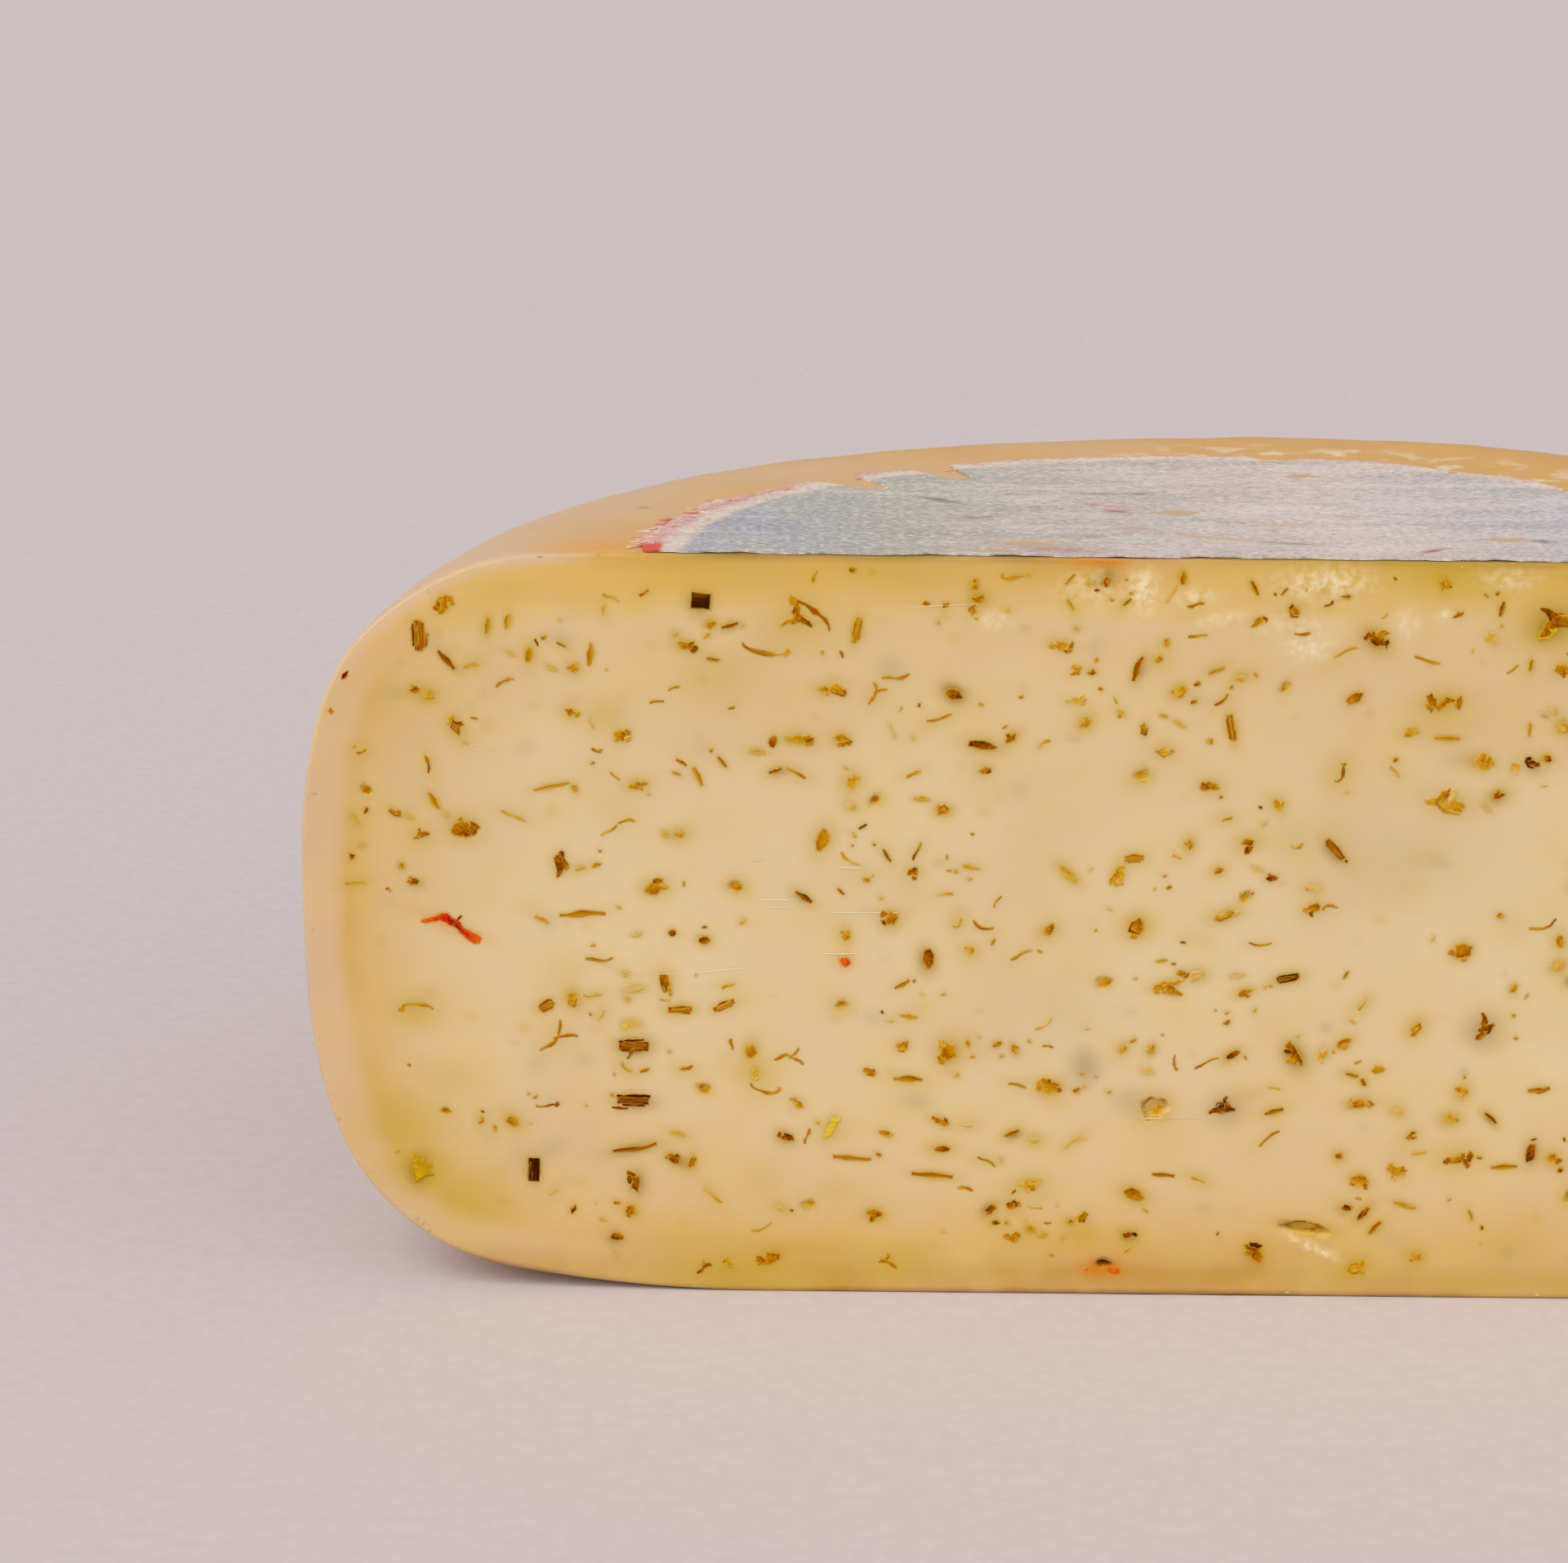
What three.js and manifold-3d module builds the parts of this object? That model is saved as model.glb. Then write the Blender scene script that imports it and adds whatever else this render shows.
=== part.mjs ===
// Half a wheel of herb gouda, standing as it was cut, with the worn half of a round paper label on top.
// Sizes are in millimetres. The cut face looks along -Y, the wheel's round side lies behind it and +Z is up.
// The part stands on Z = 0, with the origin under the middle of its box.
import * as THREE from "three";
import { mergeVertices } from "three/addons/utils/BufferGeometryUtils.js";
import Module from "manifold-3d";

const wasm = await Module();
wasm.setup();

const degrees = THREE.MathUtils.degToRad;

// Driving dimensions of the wheel
const WHEEL_HEIGHT = 100;
const WHEEL_RADIUS = 116.4;
const BELLY_HEIGHT = 52;
const BELLY_FULLNESS = 3;
const TOP_SLOPE = 0.01;
const CUT_Y = -57.9;

// Each flat face eases into its shoulder: an arc about a circle that lies inside the edge of the wheel
const BASE = {
  flatRadius: 56,
  ease: degrees(10),
  shoulderRadius: 30,
  shoulderCircle: 84.6,
  shoulderTurn: degrees(66),
};
const TOP = {
  flatRadius: 75,
  ease: degrees(2),
  shoulderRadius: 32,
  shoulderCircle: 82,
  shoulderTurn: degrees(62),
};

// Waves that the side swells in as the wheel settles: how many round the wheel, height and phase
const SIDE_WAVES = [
  [2, 0.2, 0.4],
  [3, 0.3, 0],
  [5, 0.18, 2],
];

// Steps that the round stretches are drawn with
const TURN_STEPS = 90;
const EASE_STEPS = 3;
const SHOULDER_STEPS = 9;
const BELLY_STEPS = 12;

// Herbs, chilli and pits in the cut face
const HERB_PROUD = 0.3;
const HERB_SUNK = 0.5;
const HERB_CLEARANCE = 1.2;
const RIND_MARGIN = 7;
const RULE_HERBS = 66;
const RULE_HERB_LONGEST = 3.6;
const RULE_HERB_SHORTEST = 1.5;
const STEM_SLIMNESS = 0.28;
const LEAF_SLIMNESS = 0.6;
const RULE_PITS = 18;
const RULE_PIT_LONGEST = 2.4;
const PIT_DEPTH = 0.7;
const PIT_SLIMNESS = 0.7;

// Steps of the sequence that spreads points evenly over a square, and the angle that turns each one on
const SPREAD_ACROSS = 0.7548776662;
const SPREAD_UP = 0.569840291;
const GOLDEN_ANGLE = 137.5;

// The paper label
const LABEL_RADIUS = 71;
const LABEL_THICKNESS = 0.3;
const LABEL_GLUE = 0.1;
const LABEL_SETBACK = 0.2;
const LABEL_STEPS = 200;

// Waves of the label's frayed edge: how many in a full turn, height and phase
const LABEL_WAVES = [
  [7, 0.5, 0.5],
  [17, 0.25, 0],
  [31, 0.15, 1],
  [53, 0.1, 2],
];

// Pieces of herb and chilli that stand out in the cut face: kind, place across and up, length, width and tilt
const SEEN_HERBS = [
  ["chilli", -96.6, 50.9, 9.0, 1.2, -23],
  ["chilli", -45.2, 46.3, 1.7, 1.5, 0],
  ["chilli", -11.2, 3.8, 5.3, 2.3, 4],
  ["stem", -86.8, 17.0, 3.3, 1.6, 88],
  ["stem", -73.3, 26.9, 4.6, 1.7, -3],
  ["stem", -99.9, 90.0, 4.0, 1.7, 90],
  ["stem", -96.4, 86.7, 3.2, 0.7, -49],
  ["stem", -79.5, 52.5, 6.1, 0.8, 2],
  ["stem", -73.1, 34.6, 4.0, 1.8, 0],
  ["stem", -37.0, 30.1, 3.8, 0.8, -3],
  ["stem", -47.1, 23.4, 2.8, 0.8, 66],
  ["stem", -7.5, 85.7, 3.4, 0.8, 68],
  ["stem", 12.4, 44.4, 3.0, 1.0, 12],
  ["stem", -33.8, 16.7, 5.5, 0.8, -5],
  ["stem", -44.4, 19.1, 5.1, 0.7, -3],
  ["leaf", -63.4, 94.5, 2.5, 2.2, 0],
  ["leaf", -96.5, 94.2, 3.0, 2.0, 80],
  ["leaf", -95.4, 77.7, 2.9, 1.4, -65],
  ["leaf", -65.4, 88.6, 2.6, 1.1, -18],
  ["leaf", -94.9, 64.2, 3.4, 2.6, 0],
  ["leaf", -74.0, 76.6, 2.4, 1.9, 20],
  ["leaf", -69.9, 56.2, 3.0, 2.2, 0],
  ["leaf", -101.9, 17.0, 3.8, 2.4, 80],
  ["leaf", -55.3, 4.8, 3.6, 2.0, 35],
  ["leaf", -36.3, 58.5, 2.0, 1.6, 30],
  ["leaf", -39.2, 52.2, 2.4, 2.3, 0],
  ["leaf", -7.2, 51.3, 2.7, 2.0, 70],
  ["leaf", -9.6, 58.4, 3.1, 1.7, 75],
  ["leaf", -31.6, 33.9, 3.7, 3.0, 60],
  ["leaf", -18.4, 29.1, 3.4, 2.2, 10],
  ["leaf", 31.3, 81.3, 4.7, 2.0, 8],
  ["leaf", 32.8, 68.0, 5.2, 2.6, -10],
  ["leaf", 34.8, 48.2, 3.0, 2.4, 30],
  ["leaf", 35.4, 19.6, 3.4, 1.8, 10],
  ["leaf", 22.5, 16.5, 2.8, 2.1, -20],
  ["leaf", 6.9, 62.6, 2.6, 1.7, 15],
  ["seed", -27.4, 75.6, 4.1, 1.3, -8],
  ["seed", -54.3, 76.0, 1.8, 1.2, 75],
  ["seed", -31.0, 82.3, 2.3, 1.4, -20],
  ["seed", -57.7, 33.8, 2.1, 1.5, 80],
  ["seed", 44.7, 20.5, 2.9, 1.4, 80],
  ["star", 38.1, 37.5, 4.4, 4.2, 20],
  ["star", 4.4, 26.6, 4.4, 4.0, 0],
  ["star", 45.2, 92.0, 5.0, 4.6, 35],
  ["curl", -49.6, 92.6, 6.0, 5.4, 150],
  ["curl", -54.9, 88.2, 5.6, 3.0, 0],
  ["curl", -55.7, 28.7, 3.6, 2.6, 0],
  ["curl", -101.7, 39.5, 4.0, 3.0, 180],
  ["fork", -83.6, 35.4, 5.0, 4.0, 40],
  ["fork", -52.8, 33.0, 3.6, 3.0, 10],
];

// Hollows where the knife pulled a piece out: place across and up, length, width, depth and tilt
const SEEN_PITS = [
  [15.6, 9.7, 6.6, 1.5, 1.3, -8],
  [-11.0, 4.4, 2.2, 1.0, 1.2, -6],
  [-4.6, 26.3, 3.5, 3.0, 1.0, 20],
];

// Places round the label's edge where paper came away: angle from +X, half width along the edge and depth
const LABEL_BITES = [
  [degrees(158), 2.2, 1.6],
  [degrees(133.5), 2.8, 11.5],
  [degrees(120.5), 2.2, 10.5],
  [degrees(78), 3.4, 1.8],
  [degrees(38), 2.6, 1.4],
];

// Draws numbers from 0 to 1 that are the same each time.
function seededDraw(seed) {
  let state = seed;
  return () => {
    state = (state * 1664525 + 1013904223) % 4294967296;
    return state / 4294967296;
  };
}

// One flat face of the wheel and its shoulder, from the axis to the belly, as [radius, depth under the face].
// The easing curve leaves the flat level and meets the shoulder's arc without a corner.
function faceOutline({ flatRadius, ease, shoulderRadius, shoulderCircle, shoulderTurn }) {
  const points = [[0, 0], [flatRadius, 0]];
  const reach = shoulderCircle + shoulderRadius * Math.sin(ease) - flatRadius;
  const easeDepth = 0.5 * Math.tan(ease) * reach;
  for (let step = 1; step <= EASE_STEPS; step += 1) {
    const part = step / EASE_STEPS;
    points.push([flatRadius + reach * part, easeDepth * part * part]);
  }
  const centreDepth = easeDepth + shoulderRadius * Math.cos(ease);
  for (let step = 1; step <= SHOULDER_STEPS; step += 1) {
    const turn = ease + ((shoulderTurn - ease) * step) / SHOULDER_STEPS;
    const radius = shoulderCircle + shoulderRadius * Math.sin(turn);
    points.push([radius, centreDepth - shoulderRadius * Math.cos(turn)]);
  }
  return points;
}

// The wheel's outline from the middle of the base, up over the belly, to the middle of the top.
function wheelOutline() {
  const base = faceOutline(BASE);
  const top = faceOutline(TOP).map(([radius, depth]) => [radius, WHEEL_HEIGHT - depth]);
  const belly = [];
  for (let step = 1; step < BELLY_STEPS; step += 1) {
    const part = step / BELLY_STEPS;
    const height = THREE.MathUtils.lerp(base.at(-1)[1], top.at(-1)[1], part);
    const [endRadius, endHeight] = height < BELLY_HEIGHT ? base.at(-1) : top.at(-1);
    const fromMiddle = (height - BELLY_HEIGHT) / (endHeight - BELLY_HEIGHT);
    belly.push([WHEEL_RADIUS - (WHEEL_RADIUS - endRadius) * fromMiddle ** BELLY_FULLNESS, height]);
  }
  return [...base, ...belly, ...top.reverse()];
}

// Sum of waves at an angle, each given as how many in a full turn, height and phase.
function waveSum(waves, turn) {
  return waves.reduce((sum, [count, height, phase]) => sum + height * Math.sin(count * turn + phase), 0);
}

// Makes a wheel that settled on a shelf: the side swells a little here and there, and the top leans.
function settle(geometry) {
  const place = geometry.attributes.position;
  for (let i = 0; i < place.count; i += 1) {
    const x = place.getX(i);
    const y = place.getY(i);
    const z = place.getZ(i);
    const wave = waveSum(SIDE_WAVES, Math.atan2(y, x));
    const swell = 1 + (wave / WHEEL_RADIUS) * Math.sin((Math.PI * z) / WHEEL_HEIGHT);
    place.setXYZ(i, x * swell, y * swell, z - (TOP_SLOPE * x * z) / WHEEL_HEIGHT);
  }
  return geometry;
}

// Turns a closed three.js geometry into a solid that can be joined and cut.
function solidOf(geometry) {
  geometry.deleteAttribute("normal");
  geometry.deleteAttribute("uv");
  const merged = mergeVertices(geometry, 1e-4);
  const corners = merged.index.array;
  const triVerts = [];
  for (let i = 0; i < corners.length; i += 3) {
    const [a, b, c] = [corners[i], corners[i + 1], corners[i + 2]];
    if (a !== b && b !== c && c !== a) {
      triVerts.push(a, b, c);
    }
  }
  const mesh = new wasm.Mesh({
    numProp: 3,
    vertProperties: new Float32Array(merged.attributes.position.array),
    triVerts: new Uint32Array(triVerts),
  });
  return new wasm.Manifold(mesh);
}

// Turns a solid back into a three.js geometry.
function geometryOf(solid) {
  const { vertProperties, triVerts } = solid.getMesh();
  const geometry = new THREE.BufferGeometry();
  geometry.setAttribute("position", new THREE.BufferAttribute(new Float32Array(vertProperties), 3));
  geometry.setIndex(new THREE.BufferAttribute(new Uint32Array(triVerts), 1));
  geometry.computeVertexNormals();
  return geometry;
}

// The bare half wheel, still with the wheel's axis on Z and the cut in the plane Y = 0.
function halfWheel() {
  const outline = wheelOutline().map(([radius, height]) => new THREE.Vector2(radius, height));
  const halfStep = Math.PI / TURN_STEPS;
  const wheel = new THREE.LatheGeometry(outline, TURN_STEPS, halfStep, 2 * Math.PI);
  wheel.rotateX(Math.PI / 2);
  const cutAway = new THREE.BoxGeometry(3 * WHEEL_RADIUS, 2 * WHEEL_RADIUS, 3 * WHEEL_HEIGHT);
  cutAway.translate(0, -WHEEL_RADIUS, WHEEL_HEIGHT / 2);
  return solidOf(settle(wheel)).subtract(solidOf(cutAway));
}

// Corners of a round outline whose radius changes from corner to corner.
function roundCorners(count, radiusAt) {
  const corners = [];
  for (let i = 0; i < count; i += 1) {
    const turn = (2 * Math.PI * i) / count;
    corners.push([radiusAt(i) * Math.cos(turn), radiusAt(i) * Math.sin(turn)]);
  }
  return corners;
}

// A bent strip along the lower half of a circle, as a curled leaf edge shows.
function bentStrip(inner) {
  const steps = 5;
  const outside = [];
  const inside = [];
  for (let i = 0; i <= steps; i += 1) {
    const turn = Math.PI + (Math.PI * i) / steps;
    outside.push([Math.cos(turn), Math.sin(turn) + 0.5]);
    inside.push([inner * Math.cos(turn), inner * Math.sin(turn) + 0.5]);
  }
  return [...outside, ...inside.reverse()];
}

// Outlines of the pieces, each within two units across, before they are sized.
const HERB_OUTLINES = {
  leaf: (draw) => roundCorners(7, () => 0.75 + 0.3 * draw()),
  seed: () => roundCorners(8, () => 1),
  star: () => roundCorners(8, (i) => (i % 2 === 0 ? 1 : 0.36)),
  stem: (draw) => [[-1, -1], [0.8 + 0.2 * draw(), -1], [1, 1], [-0.8 - 0.2 * draw(), 1]],
  chilli: () => [[-1, 0.1], [-0.2, -0.6], [0.4, -0.9], [1, -0.7], [0.7, 0.3], [0.1, 0.9], [-0.5, 0.8]],
  curl: () => bentStrip(0.68),
  fork: () => [
    [-1, -0.12], [0, -0.2], [0.9, -1], [1, -0.75], [0.3, 0], [1, 0.8], [0.85, 1], [0, 0.2], [-1, 0.12],
  ],
};

// A flake set into the cut face, a little proud of it, as it stands there after the knife passed.
function herbFlake([kind, across, up, long, wide, tilt], draw) {
  const corners = HERB_OUTLINES[kind](draw);
  const sized = corners.map(([x, y]) => new THREE.Vector2((x * long) / 2, (y * wide) / 2));
  const outline = new THREE.Shape(sized);
  const flake = new THREE.ExtrudeGeometry(outline, { depth: HERB_PROUD + HERB_SUNK, bevelEnabled: false });
  flake.rotateZ(degrees(tilt));
  flake.rotateX(Math.PI / 2);
  flake.translate(across, HERB_SUNK, up);
  return solidOf(flake);
}

// A rounded hollow in the cut face.
function pitCutter([across, up, long, wide, depth, tilt]) {
  const pit = new THREE.IcosahedronGeometry(1, 1);
  pit.scale(long / 2, depth, wide / 2);
  pit.rotateY(-degrees(tilt));
  pit.translate(across, 0, up);
  return solidOf(pit);
}

// True where a piece lies far enough inside the rind of the cut face.
function insideRind(across, up) {
  const halfWidth = WHEEL_RADIUS - RIND_MARGIN;
  const halfHeight = WHEEL_HEIGHT / 2 - RIND_MARGIN / 2;
  return (Math.abs(across) / halfWidth) ** 4 + (Math.abs(up - WHEEL_HEIGHT / 2) / halfHeight) ** 4 < 1;
}

// True where a new piece keeps clear of every piece that is there already.
function isFree(across, up, long, taken) {
  return taken.every(([x, z, size]) => Math.hypot(across - x, up - z) > (long + size) / 2 + HERB_CLEARANCE);
}

// Spreads pieces evenly over the cut face by the plane's golden-ratio sequence, the largest first.
function spread(count, start, taken, pieceAt) {
  const pieces = [];
  for (let i = start; pieces.length < count; i += 1) {
    const across = (((0.5 + i * SPREAD_ACROSS) % 1) - 0.5) * 2 * WHEEL_RADIUS;
    const up = ((0.5 + i * SPREAD_UP) % 1) * WHEEL_HEIGHT;
    const { long, piece } = pieceAt(pieces.length / count, across, up, i);
    if (insideRind(across, up) && isFree(across, up, long, taken)) {
      taken.push([across, up, long]);
      pieces.push(piece);
    }
  }
  return pieces;
}

// The cheese: paste and rind in one piece, with the herbs that show in the cut and the hollows beside them.
function cheese() {
  const draw = seededDraw(7);
  const taken = SEEN_HERBS.map(([, across, up, long]) => [across, up, long]);
  taken.push(...SEEN_PITS.map(([across, up, long]) => [across, up, long]));
  const ruleKinds = ["leaf", "stem", "leaf", "seed", "stem", "leaf"];
  const ruleHerbs = spread(RULE_HERBS, 1, taken, (part, across, up, i) => {
    const kind = ruleKinds[i % ruleKinds.length];
    const long = RULE_HERB_LONGEST + (RULE_HERB_SHORTEST - RULE_HERB_LONGEST) * part;
    const wide = long * (kind === "stem" ? STEM_SLIMNESS : LEAF_SLIMNESS);
    const tilt = ((i * GOLDEN_ANGLE) % 180) - 90;
    return { long, piece: [kind, across, up, long, wide, tilt] };
  });
  const rulePits = spread(RULE_PITS, 400, taken, (part, across, up, i) => {
    const long = RULE_PIT_LONGEST * (1 - 0.5 * part);
    const tilt = ((i * GOLDEN_ANGLE) % 180) - 90;
    return { long, piece: [across, up, long, long * PIT_SLIMNESS, PIT_DEPTH, tilt] };
  });
  let body = halfWheel();
  for (const herb of [...SEEN_HERBS, ...ruleHerbs]) {
    body = body.add(herbFlake(herb, draw));
  }
  for (const pit of [...SEEN_PITS, ...rulePits]) {
    body = body.subtract(pitCutter(pit));
  }
  return geometryOf(body);
}

// Radius of the label at an angle: a frayed circle with the places where paper came away.
function labelRadius(turn) {
  let radius = LABEL_RADIUS + waveSum(LABEL_WAVES, turn);
  for (const [at, halfWidth, depth] of LABEL_BITES) {
    const away = ((turn - at) * LABEL_RADIUS) / halfWidth;
    radius -= depth * Math.exp(-(away ** 4));
  }
  return radius;
}

// The paper label, cut through with the wheel, lying on the leaning top.
function paperLabel() {
  const corners = [];
  for (let i = 0; i <= LABEL_STEPS; i += 1) {
    const turn = (Math.PI * i) / LABEL_STEPS;
    const radius = labelRadius(turn);
    const behindCut = Math.max(radius * Math.sin(turn), LABEL_SETBACK);
    corners.push(new THREE.Vector2(radius * Math.cos(turn), behindCut));
  }
  const outline = new THREE.Shape(corners);
  const paper = new THREE.ExtrudeGeometry(outline, { depth: LABEL_THICKNESS, bevelEnabled: false });
  const place = paper.attributes.position;
  for (let i = 0; i < place.count; i += 1) {
    place.setZ(i, place.getZ(i) + WHEEL_HEIGHT + LABEL_GLUE - TOP_SLOPE * place.getX(i));
  }
  paper.computeVertexNormals();
  return paper;
}

const herbGouda = new THREE.Group();
herbGouda.position.y = CUT_Y;

const pasteAndRind = new THREE.MeshStandardMaterial({ color: 0xdec092, roughness: 0.5, metalness: 0 });
const cheeseMesh = new THREE.Mesh(cheese(), pasteAndRind);
cheeseMesh.name = "cheese";
herbGouda.add(cheeseMesh);

const wornPaper = new THREE.MeshStandardMaterial({ color: 0xbdb6b2, roughness: 0.9, metalness: 0 });
const labelMesh = new THREE.Mesh(paperLabel(), wornPaper);
labelMesh.name = "paper_label";
herbGouda.add(labelMesh);

export default herbGouda;
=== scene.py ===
# %% [markdown]
# # Half a wheel of herb gouda
# The frame gives the plain solids of the object: half a wheel of cheese and the paper label on top of it.
# In this lesson each solid is replaced by a finer mesh of the same form, with the looks of the real
# thing: waxy paste, a thin dry rind, hundreds of flakes of herb in the cut and a worn sheet of paper. The
# frame comes first, so that everything that follows can be measured against it.

# %% Load the frame
import math
import random

import bmesh
import bpy
import numpy as np
from mathutils import Matrix, Vector


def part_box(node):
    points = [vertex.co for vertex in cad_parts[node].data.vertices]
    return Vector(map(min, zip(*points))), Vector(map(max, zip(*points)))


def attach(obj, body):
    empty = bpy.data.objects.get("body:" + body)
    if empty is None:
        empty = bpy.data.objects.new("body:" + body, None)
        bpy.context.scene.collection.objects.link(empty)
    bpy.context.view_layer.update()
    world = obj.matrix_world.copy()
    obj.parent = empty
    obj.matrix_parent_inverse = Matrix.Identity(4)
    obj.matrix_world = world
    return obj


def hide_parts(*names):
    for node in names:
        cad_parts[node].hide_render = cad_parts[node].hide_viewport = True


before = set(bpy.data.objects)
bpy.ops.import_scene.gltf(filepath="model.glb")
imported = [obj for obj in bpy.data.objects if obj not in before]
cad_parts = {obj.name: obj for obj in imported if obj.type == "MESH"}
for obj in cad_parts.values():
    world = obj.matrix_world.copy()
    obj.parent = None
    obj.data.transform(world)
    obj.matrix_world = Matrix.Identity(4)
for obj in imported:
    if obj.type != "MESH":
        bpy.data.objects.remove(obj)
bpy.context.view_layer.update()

# %% [markdown]
# ## Where the wheel stands
# A wheel of cheese is round about one axis, and the knife went through that axis. It is easiest to model
# everything in millimetres with the axis at X = Y = 0 and the cut in the plane Y = 0, and to move each
# finished piece into the frame once. The solid's herbs stand a little proud of the cut, so the cut lies
# that much behind the front of the solid's box. Every piece belongs to the one body of the part, because
# food has no joints.

# %% Axis, cut and the way into the frame
MM = 0.001
SOLID_HERB_PROUD = 0.3
CUT_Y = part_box("cheese")[0].y / MM + SOLID_HERB_PROUD


def finish_piece(bm, name, finishes):
    """Moves a shape from the wheel's axis into the frame, in metres, and makes it a piece of the object."""
    bmesh.ops.translate(bm, verts=bm.verts, vec=(0, CUT_Y, 0))
    bmesh.ops.scale(bm, verts=bm.verts, vec=(MM, MM, MM))
    mesh = bpy.data.meshes.new(name)
    bm.to_mesh(mesh)
    bm.free()
    for finish in finishes:
        mesh.materials.append(finish)
    piece = bpy.data.objects.new(name, mesh)
    bpy.context.scene.collection.objects.link(piece)
    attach(piece, "root")
    triangles = sum(len(face.vertices) - 2 for face in mesh.polygons)
    print(f"{name}: {len(mesh.vertices)} vertices, {triangles} triangles")
    return piece


print(f"The cut lies at Y = {CUT_Y:.1f} mm")

# %% [markdown]
# ## The camera
# The view looks down on the cut face by 15 degrees, from a little left of its middle, through a long
# lens. The right part of the cheese runs out of the picture. The lens is given as the focal length on a
# sensor 36 mm wide, and the camera is turned by three plain rotations: about the upright, then down, then
# about its own axis.

# %% Place the camera
CAMERA_AT = Vector((-26.8, -504.1, 205.9))
CAMERA_YAW = math.radians(2.97)
CAMERA_PITCH = math.radians(-15.0)
CAMERA_ROLL = math.radians(-0.56)
CAMERA_LENS = 92.8
SENSOR_WIDTH = 36

camera_data = bpy.data.cameras.new("camera")
camera_data.lens = CAMERA_LENS
camera_data.sensor_width = SENSOR_WIDTH
camera_data.sensor_fit = "HORIZONTAL"
camera_data.clip_start = 0.01
camera = bpy.data.objects.new("camera", camera_data)
camera.matrix_world = (
    Matrix.Translation((CAMERA_AT + Vector((0, CUT_Y, 0))) * MM)
    @ Matrix.Rotation(CAMERA_YAW, 4, "Z")
    @ Matrix.Rotation(math.pi / 2 + CAMERA_PITCH, 4, "X")
    @ Matrix.Rotation(CAMERA_ROLL, 4, "Z")
)
bpy.context.scene.collection.objects.link(camera)
bpy.context.scene.camera = camera
print("Camera at", [round(v, 3) for v in camera.matrix_world.translation])

# %% [markdown]
# ## Colours and nodes
# Colours are written as sRGB hex values, as a colour picker shows them, and Blender's sockets take linear
# light. One function turns the one into the other. A second one adds a shader node, sets its values and
# links it, so that each material below reads as a list of what it is made of. A third starts a material
# from its shader.

# %% Helpers for materials
FACTOR, COLOUR_A, COLOUR_B, MIXED = 0, 6, 7, 2


def linear(hex_colour):
    """The linear colour of an sRGB hex value such as #dec092, with full alpha."""
    parts = [int(hex_colour[i:i + 2], 16) / 255 for i in (1, 3, 5)]
    return (*[c / 12.92 if c <= 0.04045 else ((c + 0.055) / 1.055) ** 2.4 for c in parts], 1)


def add_node(tree, kind, settings=(), inputs=(), stops=()):
    """Adds a node. Inputs hold values or outputs to link, and stops are the places and colours of a ramp."""
    made = tree.nodes.new("ShaderNode" + kind)
    for name, value in dict(settings).items():
        setattr(made, name, value)
    for name, value in dict(inputs).items():
        if isinstance(value, bpy.types.NodeSocket):
            tree.links.new(value, made.inputs[name])
        else:
            made.inputs[name].default_value = value
    for i, (place, colour) in enumerate(stops):
        elements = made.color_ramp.elements
        stop = elements[i] if i < 2 else elements.new(place)
        stop.position = place
        stop.color = linear(colour)
    return made


def start_finish(name, **constants):
    """A new material with its shader, and the place of each point in millimetres about the wheel's axis."""
    finish = bpy.data.materials.new(name)
    finish.use_nodes = True
    tree = finish.node_tree
    tree.nodes.clear()
    shader = add_node(tree, "BsdfPrincipled", inputs={k.replace("_", " "): v for k, v in constants.items()})
    add_node(tree, "OutputMaterial", inputs={"Surface": shader.outputs["BSDF"]})
    place = add_node(tree, "TexCoord").outputs["Object"]
    to_wheel = {"Vector": place, "Location": (0, -CUT_Y, 0), "Scale": (1 / MM, 1 / MM, 1 / MM)}
    return finish, tree, shader, add_node(tree, "Mapping", inputs=to_wheel).outputs["Vector"]


print("A mid cheese colour in linear light:", [round(v, 3) for v in linear("#dec092")])

# %% [markdown]
# ## Floor and light
# A plain pale sheet of paper is the floor. It reaches far back, so that it fills the picture behind the
# cheese too. The light is that of a bright room: one wide soft source high on the left, a weaker one on
# the right that opens the shadows, and an even glow from all around. Lights of the sun kind don't fade
# with distance, so the floor stays even to the back, and a wide angle makes them soft. The standard view
# shows colours as they are.

# %% Floor
FLOOR_HALF = 4.0
FLOOR_CLOUD = 2.5
FLOOR_TINTS = [(0.3, "#cbbfbe"), (0.7, "#d1c5c4")]

floor_paper, tree, shader, place = start_finish("pale paper, matt", Roughness=0.95, IOR=1.45)
fibre = add_node(tree, "TexNoise", inputs={"Vector": place, "Scale": 1 / FLOOR_CLOUD, "Detail": 4.0})
tint = add_node(tree, "ValToRGB", inputs={"Fac": fibre.outputs["Fac"]}, stops=FLOOR_TINTS)
tree.links.new(tint.outputs["Color"], shader.inputs["Base Color"])

bm = bmesh.new()
bmesh.ops.create_grid(bm, x_segments=1, y_segments=1, size=FLOOR_HALF)
floor_mesh = bpy.data.meshes.new("floor")
bm.to_mesh(floor_mesh)
bm.free()
floor_mesh.materials.append(floor_paper)
floor = bpy.data.objects.new("floor", floor_mesh)
bpy.context.scene.collection.objects.link(floor)
print("The floor is", 2 * FLOOR_HALF, "m wide")

# %% Lights
# Each light: where it comes from, strength and the angle that its source fills, in degrees
LIGHTS = {
    "window_light": ((-0.5, -0.62, 0.72), 2.4, 50),
    "room_light": ((0.7, -0.6, 0.5), 0.5, 70),
}
GLOW_COLOUR = "#f4f2f5"
GLOW_STRENGTH = 0.42

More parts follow.
